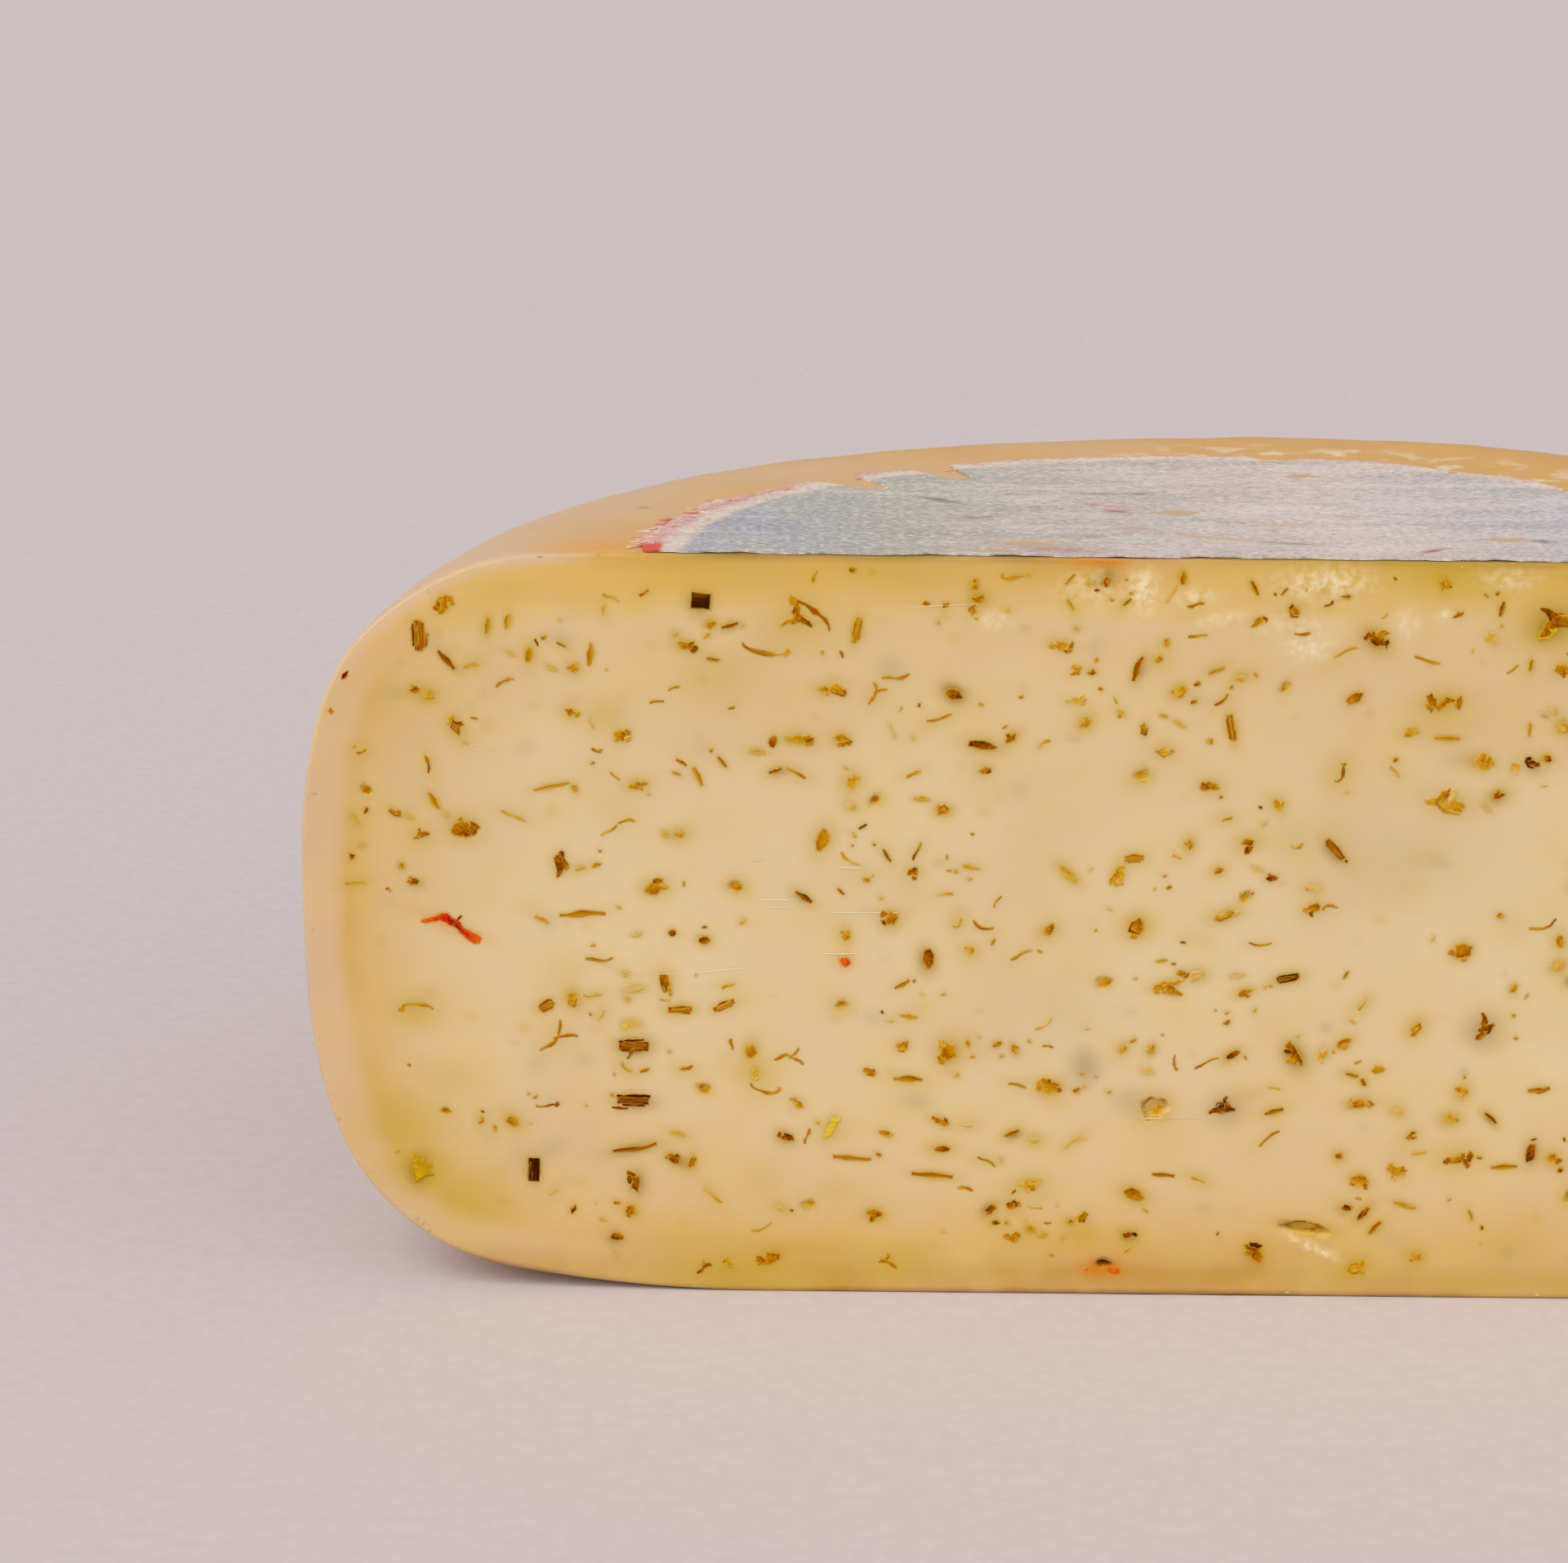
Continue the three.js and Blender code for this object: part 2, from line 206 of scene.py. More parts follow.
for name, (comes_from, strength, angle) in LIGHTS.items():
    source = bpy.data.lights.new(name, "SUN")
    source.energy = strength
    source.angle = math.radians(angle)
    lamp = bpy.data.objects.new(name, source)
    lamp.location = comes_from
    lamp.rotation_euler = Vector(comes_from).to_track_quat("Z", "Y").to_euler()
    bpy.context.scene.collection.objects.link(lamp)

world = bpy.data.worlds.new("room_glow")
world.use_nodes = True
world.node_tree.nodes["Background"].inputs["Color"].default_value = linear(GLOW_COLOUR)
world.node_tree.nodes["Background"].inputs["Strength"].default_value = GLOW_STRENGTH
bpy.context.scene.world = world
bpy.context.scene.view_settings.view_transform = "Standard"
print("Lights:", ", ".join(LIGHTS))

# %% [markdown]
# ## What lies in the cut
# A herb cheese is made by stirring dried leaves, stems and chilli into the curd, so the knife meets them
# in all directions: leaves as flakes, stems end on or lengthwise, curled edges as thin arcs. The large
# pieces are listed one by one, as they are in the solid, with a tone from 0, nearly black, to 1, yellow.
# A golden-ratio sequence then spreads the rest of the solid's pieces, and a seeded draw adds fine specks
# and threads between them.

# %% Large pieces
# Each piece: place across and up, length, width, tilt in degrees and tone
LARGE_HERBS = {
    "block": [(-86.8, 17.0, 3.3, 1.6, 88, 0.05), (-63.4, 94.5, 2.5, 2.2, -5, 0.02)],
    "stem": [
        (-73.3, 26.9, 4.6, 1.7, -3, 0.12), (-99.9, 90.0, 4.0, 1.7, 90, 0.35),
        (-96.4, 86.7, 3.2, 0.7, -49, 0.3), (-79.5, 52.5, 6.1, 0.8, 2, 0.5), (-73.1, 34.6, 4.0, 1.8, 0, 0.2),
        (-37.0, 30.1, 3.8, 0.8, -3, 0.48), (-7.5, 85.7, 3.4, 0.8, 68, 0.3),
        (12.4, 44.4, 3.0, 1.0, 12, 0.15), (-33.8, 16.7, 5.5, 0.8, -5, 0.4), (-44.4, 19.1, 5.1, 0.7, -3, 0.5),
    ],
    "leaf": [
        (-96.5, 94.2, 3.0, 2.0, 80, 0.58), (-95.4, 77.7, 2.9, 1.4, -65, 0.5),
        (-65.4, 88.6, 2.6, 1.1, -18, 0.48), (-94.9, 64.2, 3.4, 2.6, 0, 0.42), (-74.0, 76.6, 2.4, 1.9, 20, 0.5),
        (-69.9, 56.2, 3.0, 2.2, 0, 0.5), (-55.3, 4.8, 3.6, 2.0, 35, 0.45),
        (-36.3, 58.5, 2.0, 1.6, 30, 0.35), (-39.2, 52.2, 2.4, 2.3, 0, 0.5), (-7.2, 51.3, 2.7, 2.0, 70, 0.5),
        (-9.6, 58.4, 3.1, 1.7, 75, 0.68), (-31.6, 33.9, 3.7, 3.0, 60, 0.5), (-18.4, 29.1, 3.4, 2.2, 10, 0.58),
        (31.3, 81.3, 4.7, 2.0, 8, 0.5), (32.8, 68.0, 5.2, 2.6, -10, 0.7), (34.8, 48.2, 3.0, 2.4, 30, 0.45),
        (35.4, 19.6, 3.4, 1.8, 10, 0.45), (22.5, 16.5, 2.8, 2.1, -20, 0.55), (6.9, 62.6, 2.6, 1.7, 15, 0.4),
    ],
    "seed": [
        (-27.4, 75.6, 4.1, 1.3, -8, 0.25), (-54.3, 76.0, 1.8, 1.2, 75, 0.35), (-31.0, 82.3, 2.3, 1.4, -20, 0.3),
        (-57.7, 33.8, 2.1, 1.5, 80, 0.5), (44.7, 20.5, 2.9, 1.4, 80, 0.25),
    ],
    "star": [(38.1, 37.5, 4.4, 4.2, 20, 0.2), (4.4, 26.6, 4.4, 4.0, 0, 0.12), (45.2, 92.0, 5.0, 4.6, 35, 0.3)],
    "curl": [
        (-49.6, 92.6, 6.0, 5.4, 150, 0.42), (-54.9, 88.2, 5.6, 3.0, 0, 0.55), (-55.7, 28.7, 3.6, 2.6, 0, 0.5),
        (-101.7, 39.5, 4.0, 3.0, 180, 0.55),
    ],
    "petal": [(-47.1, 23.4, 2.8, 0.8, 66, 0.6), (-101.9, 17.0, 3.8, 2.4, 80, 0.08)],
    "fork": [(-83.6, 35.4, 5.0, 4.0, 40, 0.55), (-52.8, 33.0, 3.6, 3.0, 10, 0.6)],
}

# Chilli: the solid's three pieces, the third of them in two bits, and two specks at the rind
CHILLI = [
    ("strip", -96.6, 50.9, 9.0, 1.2, -23, 0.38), ("seed", -45.2, 46.3, 1.6, 1.4, 0, 0.5),
    ("seed", -9.6, 3.5, 2.2, 1.2, -8, 0.62), ("leaf", -109.6, 84.7, 1.5, 1.0, 60, 0.0),
    ("leaf", -111.6, 79.9, 0.9, 0.9, 0, 0.6), ("leaf", -13.4, 3.6, 0.9, 0.5, 0, 0.7),
]
# Hollows where the knife pulled a piece out: place across and up, length, width, depth and tilt
LARGE_PITS = [
    (15.6, 9.7, 6.6, 1.5, 1.3, -8), (-11.0, 4.4, 2.2, 1.0, 1.2, -6), (-4.6, 26.3, 3.5, 3.0, 1.0, 20),
]
print(sum(len(rows) for rows in LARGE_HERBS.values()), "large herbs,", len(CHILLI), "pieces of chilli")

# %% Pieces that the solid spreads by its golden-ratio sequence
WHEEL_HEIGHT = 100
WHEEL_RADIUS = 116.4
SPREAD_ACROSS = 0.7548776662
SPREAD_UP = 0.569840291
GOLDEN_ANGLE = 137.5
RIND_MARGIN = 7
CLEARANCE = 1.2
EVEN_HERBS = 66
EVEN_KINDS = ["leaf", "stem", "leaf", "seed", "stem", "leaf"]
EVEN_LONGEST = 3.6
EVEN_SHORTEST = 1.5
SLIMNESS = {"leaf": 0.6, "stem": 0.28, "seed": 0.6}
EVEN_PITS = 18
PIT_LONGEST = 2.4
PIT_SLIMNESS = 0.7
PIT_DEPTH = 0.3


def inside_rind(across, up, margin=RIND_MARGIN):
    """True where a piece lies far enough inside the rind of the cut face."""
    half_width = WHEEL_RADIUS - margin
    half_height = WHEEL_HEIGHT / 2 - margin / 2
    return abs(across / half_width) ** 4 + abs((up - WHEEL_HEIGHT / 2) / half_height) ** 4 < 1


def is_free(across, up, long, taken, clearance):
    """True where a new piece keeps clear of every piece that is there already."""
    return all(math.hypot(across - x, up - z) > (long + size) / 2 + clearance for x, z, size in taken)


def spread(count, start, taken, length_at):
    """Evenly spread places in the cut, the largest first: number in the sequence, across, up and length."""
    places = []
    i = start
    while len(places) < count:
        across = ((0.5 + i * SPREAD_ACROSS) % 1 - 0.5) * 2 * WHEEL_RADIUS
        up = (0.5 + i * SPREAD_UP) % 1 * WHEEL_HEIGHT
        long = length_at(len(places) / count)
        if inside_rind(across, up) and is_free(across, up, long, taken, CLEARANCE):
            taken.append((across, up, long))
            places.append((i, across, up, long))
        i += 1
    return places


draw = random.Random(7)
taken = [(row[0], row[1], row[2]) for rows in LARGE_HERBS.values() for row in rows]
taken += [(-96.6, 50.9, 9.0), (-45.2, 46.3, 1.7), (-11.2, 3.8, 5.3)]
taken += [(across, up, long) for across, up, long, *_ in LARGE_PITS]
even_herbs = []
for i, across, up, long in spread(
    EVEN_HERBS, 1, taken, lambda part: EVEN_LONGEST + (EVEN_SHORTEST - EVEN_LONGEST) * part
):
    kind = EVEN_KINDS[i % len(EVEN_KINDS)]
    tilt = i * GOLDEN_ANGLE % 180 - 90
    even_herbs.append((kind, across, up, long, long * SLIMNESS[kind], tilt, draw.uniform(0.3, 0.72)))
pits = list(LARGE_PITS)
for i, across, up, long in spread(EVEN_PITS, 400, taken, lambda part: PIT_LONGEST * (1 - 0.5 * part)):
    pits.append((across, up, long, long * PIT_SLIMNESS, PIT_DEPTH, i * GOLDEN_ANGLE % 180 - 90))
print(len(even_herbs), "evenly spread herbs and", len(pits), "pits, as in the solid")

# %% Smaller pieces that stand out, and fine specks between all of them
SMALL_HERBS = {
    "leaf": [
        (-79.9, 85.7, 2.0, 1.7, 0, 0.62), (-98.9, 82.0, 1.6, 1.3, 30, 0.72), (-72.1, 70.1, 2.6, 1.2, 5, 0.52),
        (-109.6, 60.3, 1.0, 0.9, 60, 0.3), (-103.8, 66.3, 2.0, 0.7, -30, 0.5), (-101.6, 56.9, 1.8, 1.0, 10, 0.3),
        (-68.0, 18.7, 2.4, 1.2, -30, 0.3), (-81.6, 11.5, 1.5, 0.7, 60, 0.25), (-73.9, 11.4, 2.0, 1.8, -20, 0.48),
        (-23.6, 76.6, 2.0, 0.9, 40, 0.4), (-44.2, 70.5, 2.2, 1.8, 70, 0.72), (-45.5, 76.3, 2.4, 1.6, 0, 0.6),
        (-3.1, 43.4, 4.5, 1.2, 15, 0.6), (-1.3, 44.9, 1.6, 1.0, 0, 0.45), (-28.9, 47.8, 1.6, 1.5, 0, 0.74),
        (27.5, 77.5, 2.4, 1.0, 15, 0.65), (44.7, 74.0, 1.4, 0.9, -10, 0.4), (10.7, 67.7, 2.0, 1.2, -50, 0.65),
        (4.3, 53.0, 3.2, 0.9, 20, 0.7), (6.9, 42.4, 2.6, 1.0, 20, 0.5), (22.1, 27.2, 3.4, 1.2, 5, 0.5),
        (35.5, 28.8, 2.2, 1.6, 70, 0.7), (19.9, 35.5, 2.4, 1.0, 30, 0.5), (19.7, 19.8, 1.5, 1.4, 40, 0.4),
        (22.3, 4.2, 3.0, 1.4, 10, 0.7), (-13.7, 10.9, 1.8, 1.5, 90, 0.45), (-22.9, 8.1, 2.2, 1.8, 0, 0.62),
        (-32.6, 24.2, 2.6, 0.9, -20, 0.5), (-40.0, 22.6, 1.8, 0.8, -20, 0.5), (-21.0, 15.7, 3.4, 1.1, 12, 0.7),
        (12.2, 93.2, 1.8, 1.6, 90, 0.5), (-11.6, 97.1, 1.6, 1.2, 60, 0.4), (30.9, 96.8, 2.4, 1.2, 90, 0.55),
        (32.7, 92.8, 1.6, 0.8, 30, 0.35), (-28.4, 96.6, 1.6, 1.0, 60, 0.65), (-28.5, 93.4, 1.6, 0.9, 80, 0.45),
        (-34.6, 94.2, 0.9, 0.7, 0, 0.4), (-32.0, 94.0, 1.1, 0.6, 20, 0.4), (-43.9, 98.6, 0.9, 0.8, 0, 0.4),
        (18.7, 95.2, 1.4, 0.7, 5, 0.45), (-17.3, 88.8, 3.2, 1.6, -15, 0.62), (-13.4, 85.3, 1.2, 0.8, 0, 0.4),
        (-4.0, 89.1, 1.0, 1.2, 0, 0.6), (-4.9, 87.0, 1.3, 0.8, 40, 0.6), (-47.5, 82.8, 2.2, 0.9, -10, 0.6),
        (-15.6, 81.3, 3.0, 1.0, -5, 0.8), (-6.6, 77.7, 1.8, 0.9, 85, 0.5), (-51.0, 76.2, 3.4, 1.0, -5, 0.6),
        (5.6, 84.6, 1.8, 0.8, 20, 0.85), (1.8, 76.2, 1.2, 0.9, 0, 0.65), (19.6, 81.8, 1.4, 0.7, 20, 0.5),
    ],
    "petal": [
        (-74.2, 37.2, 1.2, 0.9, 60, 0.6), (-57.2, 30.8, 1.6, 0.9, 80, 0.5), (44.0, 90.4, 2.6, 1.6, 20, 0.3),
    ],
    "stem": [
        (-90.9, 91.2, 2.0, 0.5, 80, 0.55), (-88.3, 91.8, 1.8, 0.5, 75, 0.6), (-83.2, 69.9, 4.8, 0.4, 12, 0.6),
        (-84.6, 40.0, 2.3, 1.3, 30, 0.4), (-66.9, 39.6, 3.0, 0.9, 3, 0.42), (-61.1, 40.2, 3.0, 0.9, 25, 0.42),
        (-73.3, 20.3, 6.0, 0.7, 12, 0.3), (-7.8, 60.5, 2.5, 1.0, 5, 0.5), (32.0, 76.7, 3.2, 0.4, 0, 0.55),
        (41.3, 18.5, 3.4, 0.6, 3, 0.5), (28.5, 13.1, 3.0, 0.5, -15, 0.6), (-3.3, 17.0, 3.0, 0.5, -5, 0.35),
        (-2.0, 97.6, 1.6, 0.7, 90, 0.4), (7.1, 96.3, 2.0, 0.5, -65, 0.35),
    ],
    "seed": [
        (-85.6, 87.4, 2.2, 1.0, 80, 0.55), (-63.6, 49.1, 1.5, 1.0, 0, 0.3), (-67.8, 50.1, 1.1, 0.9, 0, 0.3),
        (5.5, 33.8, 2.2, 0.8, 30, 0.25), (24.5, 32.0, 1.8, 1.5, 0, 0.6), (23.1, 11.9, 2.6, 0.8, 50, 0.3),
        (-32.6, 20.4, 2.4, 0.9, 3, 0.35),
    ],
    "star": [(-100.5, 63.3, 2.4, 2.2, 10, 0.5), (-51.0, 92.4, 4.4, 3.8, 15, 0.4)],
    "curl": [
        (-84.3, 26.3, 3.6, 0.9, 10, 0.35), (18.5, 72.2, 2.8, 1.8, 70, 0.45), (7.1, 55.9, 2.0, 1.4, 20, 0.6),
        (17.6, 53.9, 2.2, 1.4, 200, 0.6), (-22.6, 98.0, 4.5, 1.6, 10, 0.6),
    ],
    "fork": [
        (-64.5, 3.3, 2.2, 1.8, 50, 0.4), (-39.5, 4.3, 2.4, 2.0, 140, 0.55), (-41.2, 82.3, 3.0, 2.4, 60, 0.6),
    ],
}
SPECKS = 340
HERB_THREADS = 70
SPECK_LONGEST = 2.3
SPECK_SHORTEST = 0.5
SPECK_MARGIN = 3
SPECK_CLEARANCE = 0.1
SPECK_KINDS = ["leaf", "leaf", "leaf", "stem", "stem", "curl"]
SPECK_SLIMNESS = {"leaf": 0.6, "stem": 0.18, "curl": 0.5}
DARK_SHARE = 0.14
CLUSTERED_SHARE = 0.75
CLUSTER_ACROSS, CLUSTER_UP = 2.4, 1.6

herbs = [(kind, *row) for kind, rows in LARGE_HERBS.items() for row in rows] + even_herbs
herbs += [(kind, *row) for kind, rows in SMALL_HERBS.items() for row in rows]
taken += [(across, up, long) for rows in SMALL_HERBS.values() for across, up, long, *_ in rows]
specks = 0
while specks < SPECKS:
    across = draw.uniform(-WHEEL_RADIUS, WHEEL_RADIUS)
    up = WHEEL_HEIGHT * draw.random() ** 1.15
    if draw.random() < CLUSTERED_SHARE:
        _, beside, level, *_ = draw.choice(herbs)
        across, up = draw.gauss(beside, CLUSTER_ACROSS), draw.gauss(level, CLUSTER_UP)
    part = specks / SPECKS
    long = SPECK_SHORTEST + (SPECK_LONGEST - SPECK_SHORTEST) * (1 - part) ** 2
    if inside_rind(across, up, SPECK_MARGIN) and is_free(across, up, long, taken, SPECK_CLEARANCE):
        kind = draw.choice(SPECK_KINDS)
        tilt = draw.gauss(5, 45)
        wide = max(long * SPECK_SLIMNESS[kind] * draw.uniform(0.8, 1.25), 0.2)
        tone = draw.uniform(0.2, 0.4) if draw.random() < DARK_SHARE else draw.uniform(0.45, 1)
        herbs.append((kind, across, up, long, wide, tilt, tone))
        taken.append((across, up, long))
        specks += 1
threads = 0
while threads < HERB_THREADS:
    _, beside, level, *_ = draw.choice(herbs)
    across, up = draw.gauss(beside, 6), draw.gauss(level, 4)
    long = draw.uniform(1.2, 3.6)
    if inside_rind(across, up, SPECK_MARGIN) and is_free(across, up, long, taken, SPECK_CLEARANCE):
        wide, tilt, tone = draw.uniform(0.12, 0.26), draw.gauss(5, 35), draw.uniform(0.4, 0.85)
        herbs.append(("thread", across, up, long, wide, tilt, tone))
        taken.append((across, up, long))
        threads += 1
# A skin of herb is left in each hollow, apart from the hole in the chilli
for i, (across, up, long, wide, _, tilt) in enumerate(pits):
    if i != 1:
        tone = 0.55 if i == 0 else draw.uniform(0.45, 0.75)
        herbs.append(("seed", across, up, 0.88 * long, 0.84 * wide, tilt, tone))
print(len(herbs), "herbs in all")

# %% [markdown]
# ## The half wheel
# A gouda wheel is pressed in a round mould and then sags as it ripens: flat faces, full shoulders and a
# belly that is widest a little above the middle. The outline is the solid's, drawn with finer steps, and
# a half spin turns it into the wheel. The two ends of the spin leave one open rim, which a single face
# closes: the cut. The edge of the cut is rounded by a fraction of a millimetre, as a knife leaves it in
# soft cheese.

# %% Outline of the wheel
BELLY_HEIGHT = 52
BELLY_FULLNESS = 3
BASE_FACE = {"flat": 56, "ease": math.radians(10), "radius": 30, "circle": 84.6, "turn": math.radians(66)}
TOP_FACE = {"flat": 75, "ease": math.radians(2), "radius": 32, "circle": 82, "turn": math.radians(62)}
FLAT_STEPS = 10
EASE_STEPS = 8
SHOULDER_STEPS = 20
BELLY_STEPS = 28


def face_outline(flat, ease, radius, circle, turn):
    """One flat face and its shoulder, from the axis to the belly, as radius and depth under the face."""
    points = [(flat * i / FLAT_STEPS, 0) for i in range(FLAT_STEPS + 1)]
    reach = circle + radius * math.sin(ease) - flat
    ease_depth = 0.5 * math.tan(ease) * reach
    parts = [i / EASE_STEPS for i in range(1, EASE_STEPS + 1)]
    points += [(flat + reach * part, ease_depth * part**2) for part in parts]
    centre_depth = ease_depth + radius * math.cos(ease)
    turns = [ease + (turn - ease) * i / SHOULDER_STEPS for i in range(1, SHOULDER_STEPS + 1)]
    points += [(circle + radius * math.sin(t), centre_depth - radius * math.cos(t)) for t in turns]
    return points


def wheel_outline():
    """Radius and height from the middle of the base, over the belly, to the middle of the top."""
    base = face_outline(**BASE_FACE)
    top = [(radius, WHEEL_HEIGHT - depth) for radius, depth in face_outline(**TOP_FACE)]
    belly = []
    for i in range(1, BELLY_STEPS):
        height = base[-1][1] + (top[-1][1] - base[-1][1]) * i / BELLY_STEPS
        end_radius, end_height = base[-1] if height < BELLY_HEIGHT else top[-1]
        away = (height - BELLY_HEIGHT) / (end_height - BELLY_HEIGHT)
        belly.append((WHEEL_RADIUS - (WHEEL_RADIUS - end_radius) * away**BELLY_FULLNESS, height))
    return base + belly + top[::-1]


outline = wheel_outline()
print(len(outline), "points in the outline, widest radius", round(max(radius for radius, _ in outline), 1))

# %% How the wheel settled
TOP_SLOPE = 0.01
SIDE_WAVES = [(2, 0.2, 0.4), (3, 0.3, 0), (5, 0.18, 2)]
# The left shoulder is fuller than the outline, by this much at this height
SHOULDER_SWELL = {"most": 1.5, "height": 86, "reach": 10}
# The rear right side reaches further out, about this angle, and the top rises towards it
REAR_SWELL = {"most": 4.5, "turn": math.radians(50), "reach": math.radians(26)}
REAR_RISE = 0.0003
RISE_STARTS, RISE_BLUR = -10, 20


def wave_sum(waves, turn):
    """Sum of waves at an angle, each given as how many in a full turn, height and phase."""
    return sum(height * math.sin(count * turn + phase) for count, height, phase in waves)


def bump(value, middle, reach):
    """A smooth rise to 1 at the middle."""
    return math.exp(-(((value - middle) / reach) ** 2))


def settle(point):
    """Where a point of the true wheel came to lie: the side swells here and there, and the top leans."""
    x, y, z = point
    turn = math.atan2(y, x)
    level = z / WHEEL_HEIGHT
    out = wave_sum(SIDE_WAVES, turn) * math.sin(math.pi * level)
    out += SHOULDER_SWELL["most"] * max(-math.cos(turn), 0) ** 6 * bump(
        z, SHOULDER_SWELL["height"], SHOULDER_SWELL["reach"]
    )
    out += REAR_SWELL["most"] * bump(turn, REAR_SWELL["turn"], REAR_SWELL["reach"])
    right = (x - RISE_STARTS + math.hypot(x - RISE_STARTS, RISE_BLUR)) / 2
    rise = REAR_RISE * right * y - TOP_SLOPE * x
    scale = 1 + out / WHEEL_RADIUS
    return Vector((x * scale, y * scale, z + rise * level))


print("The top's edges lie at", [round(settle((x, 0, WHEEL_HEIGHT)).z, 2) for x in (-75, 75)])

# %% Spin the outline and close the cut
TURN_STEPS = 150
KNIFE_EDGE_ROUND = 0.35
RIND_SLOT, PASTE_SLOT = 0, 1

bm = bmesh.new()
line = [bm.verts.new((radius, 0, height)) for radius, height in outline]
line_edges = [bm.edges.new(pair) for pair in zip(line, line[1:])]
bmesh.ops.spin(bm, geom=line + line_edges, cent=(0, 0, 0), axis=(0, 0, 1), angle=math.pi, steps=TURN_STEPS)
bmesh.ops.remove_doubles(bm, verts=bm.verts, dist=0.01)
for vert in bm.verts:
    vert.co = settle(vert.co)
rim = [edge for edge in bm.edges if edge.is_boundary]
bmesh.ops.contextual_create(bm, geom=rim)
bmesh.ops.recalc_face_normals(bm, faces=bm.faces)
rounded = bmesh.ops.bevel(
    bm, geom=rim, offset=KNIFE_EDGE_ROUND, segments=2, profile=0.5, affect="EDGES", material=-1
)
cut_face = max(bm.faces, key=lambda face: len(face.verts))
for face in [*rounded["faces"], cut_face]:
    face.material_index = PASTE_SLOT
print(len(rim), "edges round the cut, whose face has", len(cut_face.verts), "corners")

# %% [markdown]
# ## A mesh for the cut
# The cut carries the finest detail: pits, knife marks, and soft colours that are stored at its vertices.
# One big face can't hold them, so planes slice it into cells about as large as the smallest herb. Each
# slice is made only through the part that still lies ahead of it, which keeps the work small. Round the
# pits the cells are split once more, because a pit is hardly wider than two cells.

# %% Slice the cut into cells
CELL = 0.62
FLAT_NORMAL = -0.9999


def slice_ahead(faces, places, direction):
    """Cuts faces by planes at rising places along a direction. The mesh holds the cells."""
    for place in places:
        geom = {*faces, *(e for f in faces for e in f.edges), *(v for f in faces for v in f.verts)}
        cut = bmesh.ops.bisect_plane(
            bm, geom=list(geom), dist=1e-5, plane_co=direction * place, plane_no=direction
        )
        made = [item for item in cut["geom"] if isinstance(item, bmesh.types.BMFace)]
        faces = [face for face in made if face.calc_center_median().dot(direction) > place]


def cells_of_cut():
    """The faces that lie flat in the plane of the cut."""
    return [f for f in bm.faces if f.material_index == PASTE_SLOT and f.normal.y < FLAT_NORMAL]


columns = np.arange(-WHEEL_RADIUS + CELL, WHEEL_RADIUS, CELL)
rows = np.arange(CELL, WHEEL_HEIGHT + 1, CELL)
slice_ahead([cut_face], columns, Vector((1, 0, 0)))
slice_ahead(cells_of_cut(), rows, Vector((0, 0, 1)))
print(len(cells_of_cut()), "cells in the cut")

# %% Split the cells at the pits
PIT_REACH = 1.3


def in_pit(x, z, pit):
    """How far points lie from the middle of a pit, where 1 is its rim. The rim is a little uneven."""
    across, up, long, wide, _, tilt = pit
    turn = math.radians(tilt)
    along = ((x - across) * math.cos(turn) + (z - up) * math.sin(turn)) / (long / 2)
    aside = ((z - up) * math.cos(turn) - (x - across) * math.sin(turn)) / (wide / 2)
    uneven = 1 + 0.14 * np.sin(3 * np.arctan2(aside, along) + across) + 0.08 * np.sin(7 * along + up)
    return np.hypot(along, aside) / uneven


cells = cells_of_cut()
middles = np.array([face.calc_center_median() for face in cells])
near = np.min([in_pit(middles[:, 0], middles[:, 2], pit) for pit in pits], axis=0) < PIT_REACH
pit_edges = {edge for face, is_near in zip(cells, near) if is_near for edge in face.edges}
bmesh.ops.subdivide_edges(bm, edges=list(pit_edges), cuts=2, use_grid_fill=True)
print(near.sum(), "cells split, now", len(cells_of_cut()), "cells")

# %% [markdown]
# ## Relief of the cut
# A wire or knife leaves a nearly flat face. It wavers a little, steps where the blade was set again near
# the top, and has small hollows where a herb or a bubble was pulled out, and soft dents where the blade
# tugged at one. All this is one function of the place in the cut, so the herbs can later be laid on the
# very same surface. Depth counts into the cheese, and eases out at the rounded edge, so that no ledge is
# left there.

# %% Marks of the blade
KNIFE_STEP_HEIGHT = 93.3
KNIFE_STEP_ENDS = (-88, 6)
KNIFE_STEP_DEPTH = 0.1
KNIFE_STEP_BLUR = 0.35
# Slow waves of the blade: waves per mm across and up, depth and phase
BLADE_WAVES = [
    (0.05, 0.31, 0.05, 0.3), (-0.11, 0.17, 0.04, 1.9), (0.23, 0.52, 0.02, 4.0), (0.4, -0.9, 0.008, 2.2),
]
# A sliver that stands out beside the large slit: both ends and its height
SLIVER = ((13.6, 8.4), (19.4, 5.6), 0.22)
SLIVER_HALF_WIDTH = 0.45
# Torn patches: across, up, half width, half height, tilt and strength
TORN_PATCHES = [
    (-7.1, 96.2, 1.9, 2.9, 0, 1.0), (-13.4, 96.3, 4.8, 2.4, 0, 0.5), (-0.3, 95.0, 2.8, 1.3, 0, 0.7),
    (-25.8, 91.9, 2.2, 0.9, 0, 0.7), (2.9, 92.1, 3.3, 0.7, 8, 0.7), (16.1, 96.9, 6.0, 2.0, 0, 0.9),
    (12.3, 91.5, 4.8, 1.8, 0, 0.5), (14.2, 88.4, 3.2, 1.5, 0, 0.9), (26.6, 91.7, 1.3, 1.9, 0, 0.7),
    (39.2, 97.4, 3.7, 1.4, 0, 0.6), (31.1, 92.7, 1.0, 0.8, 20, 0.8),
]
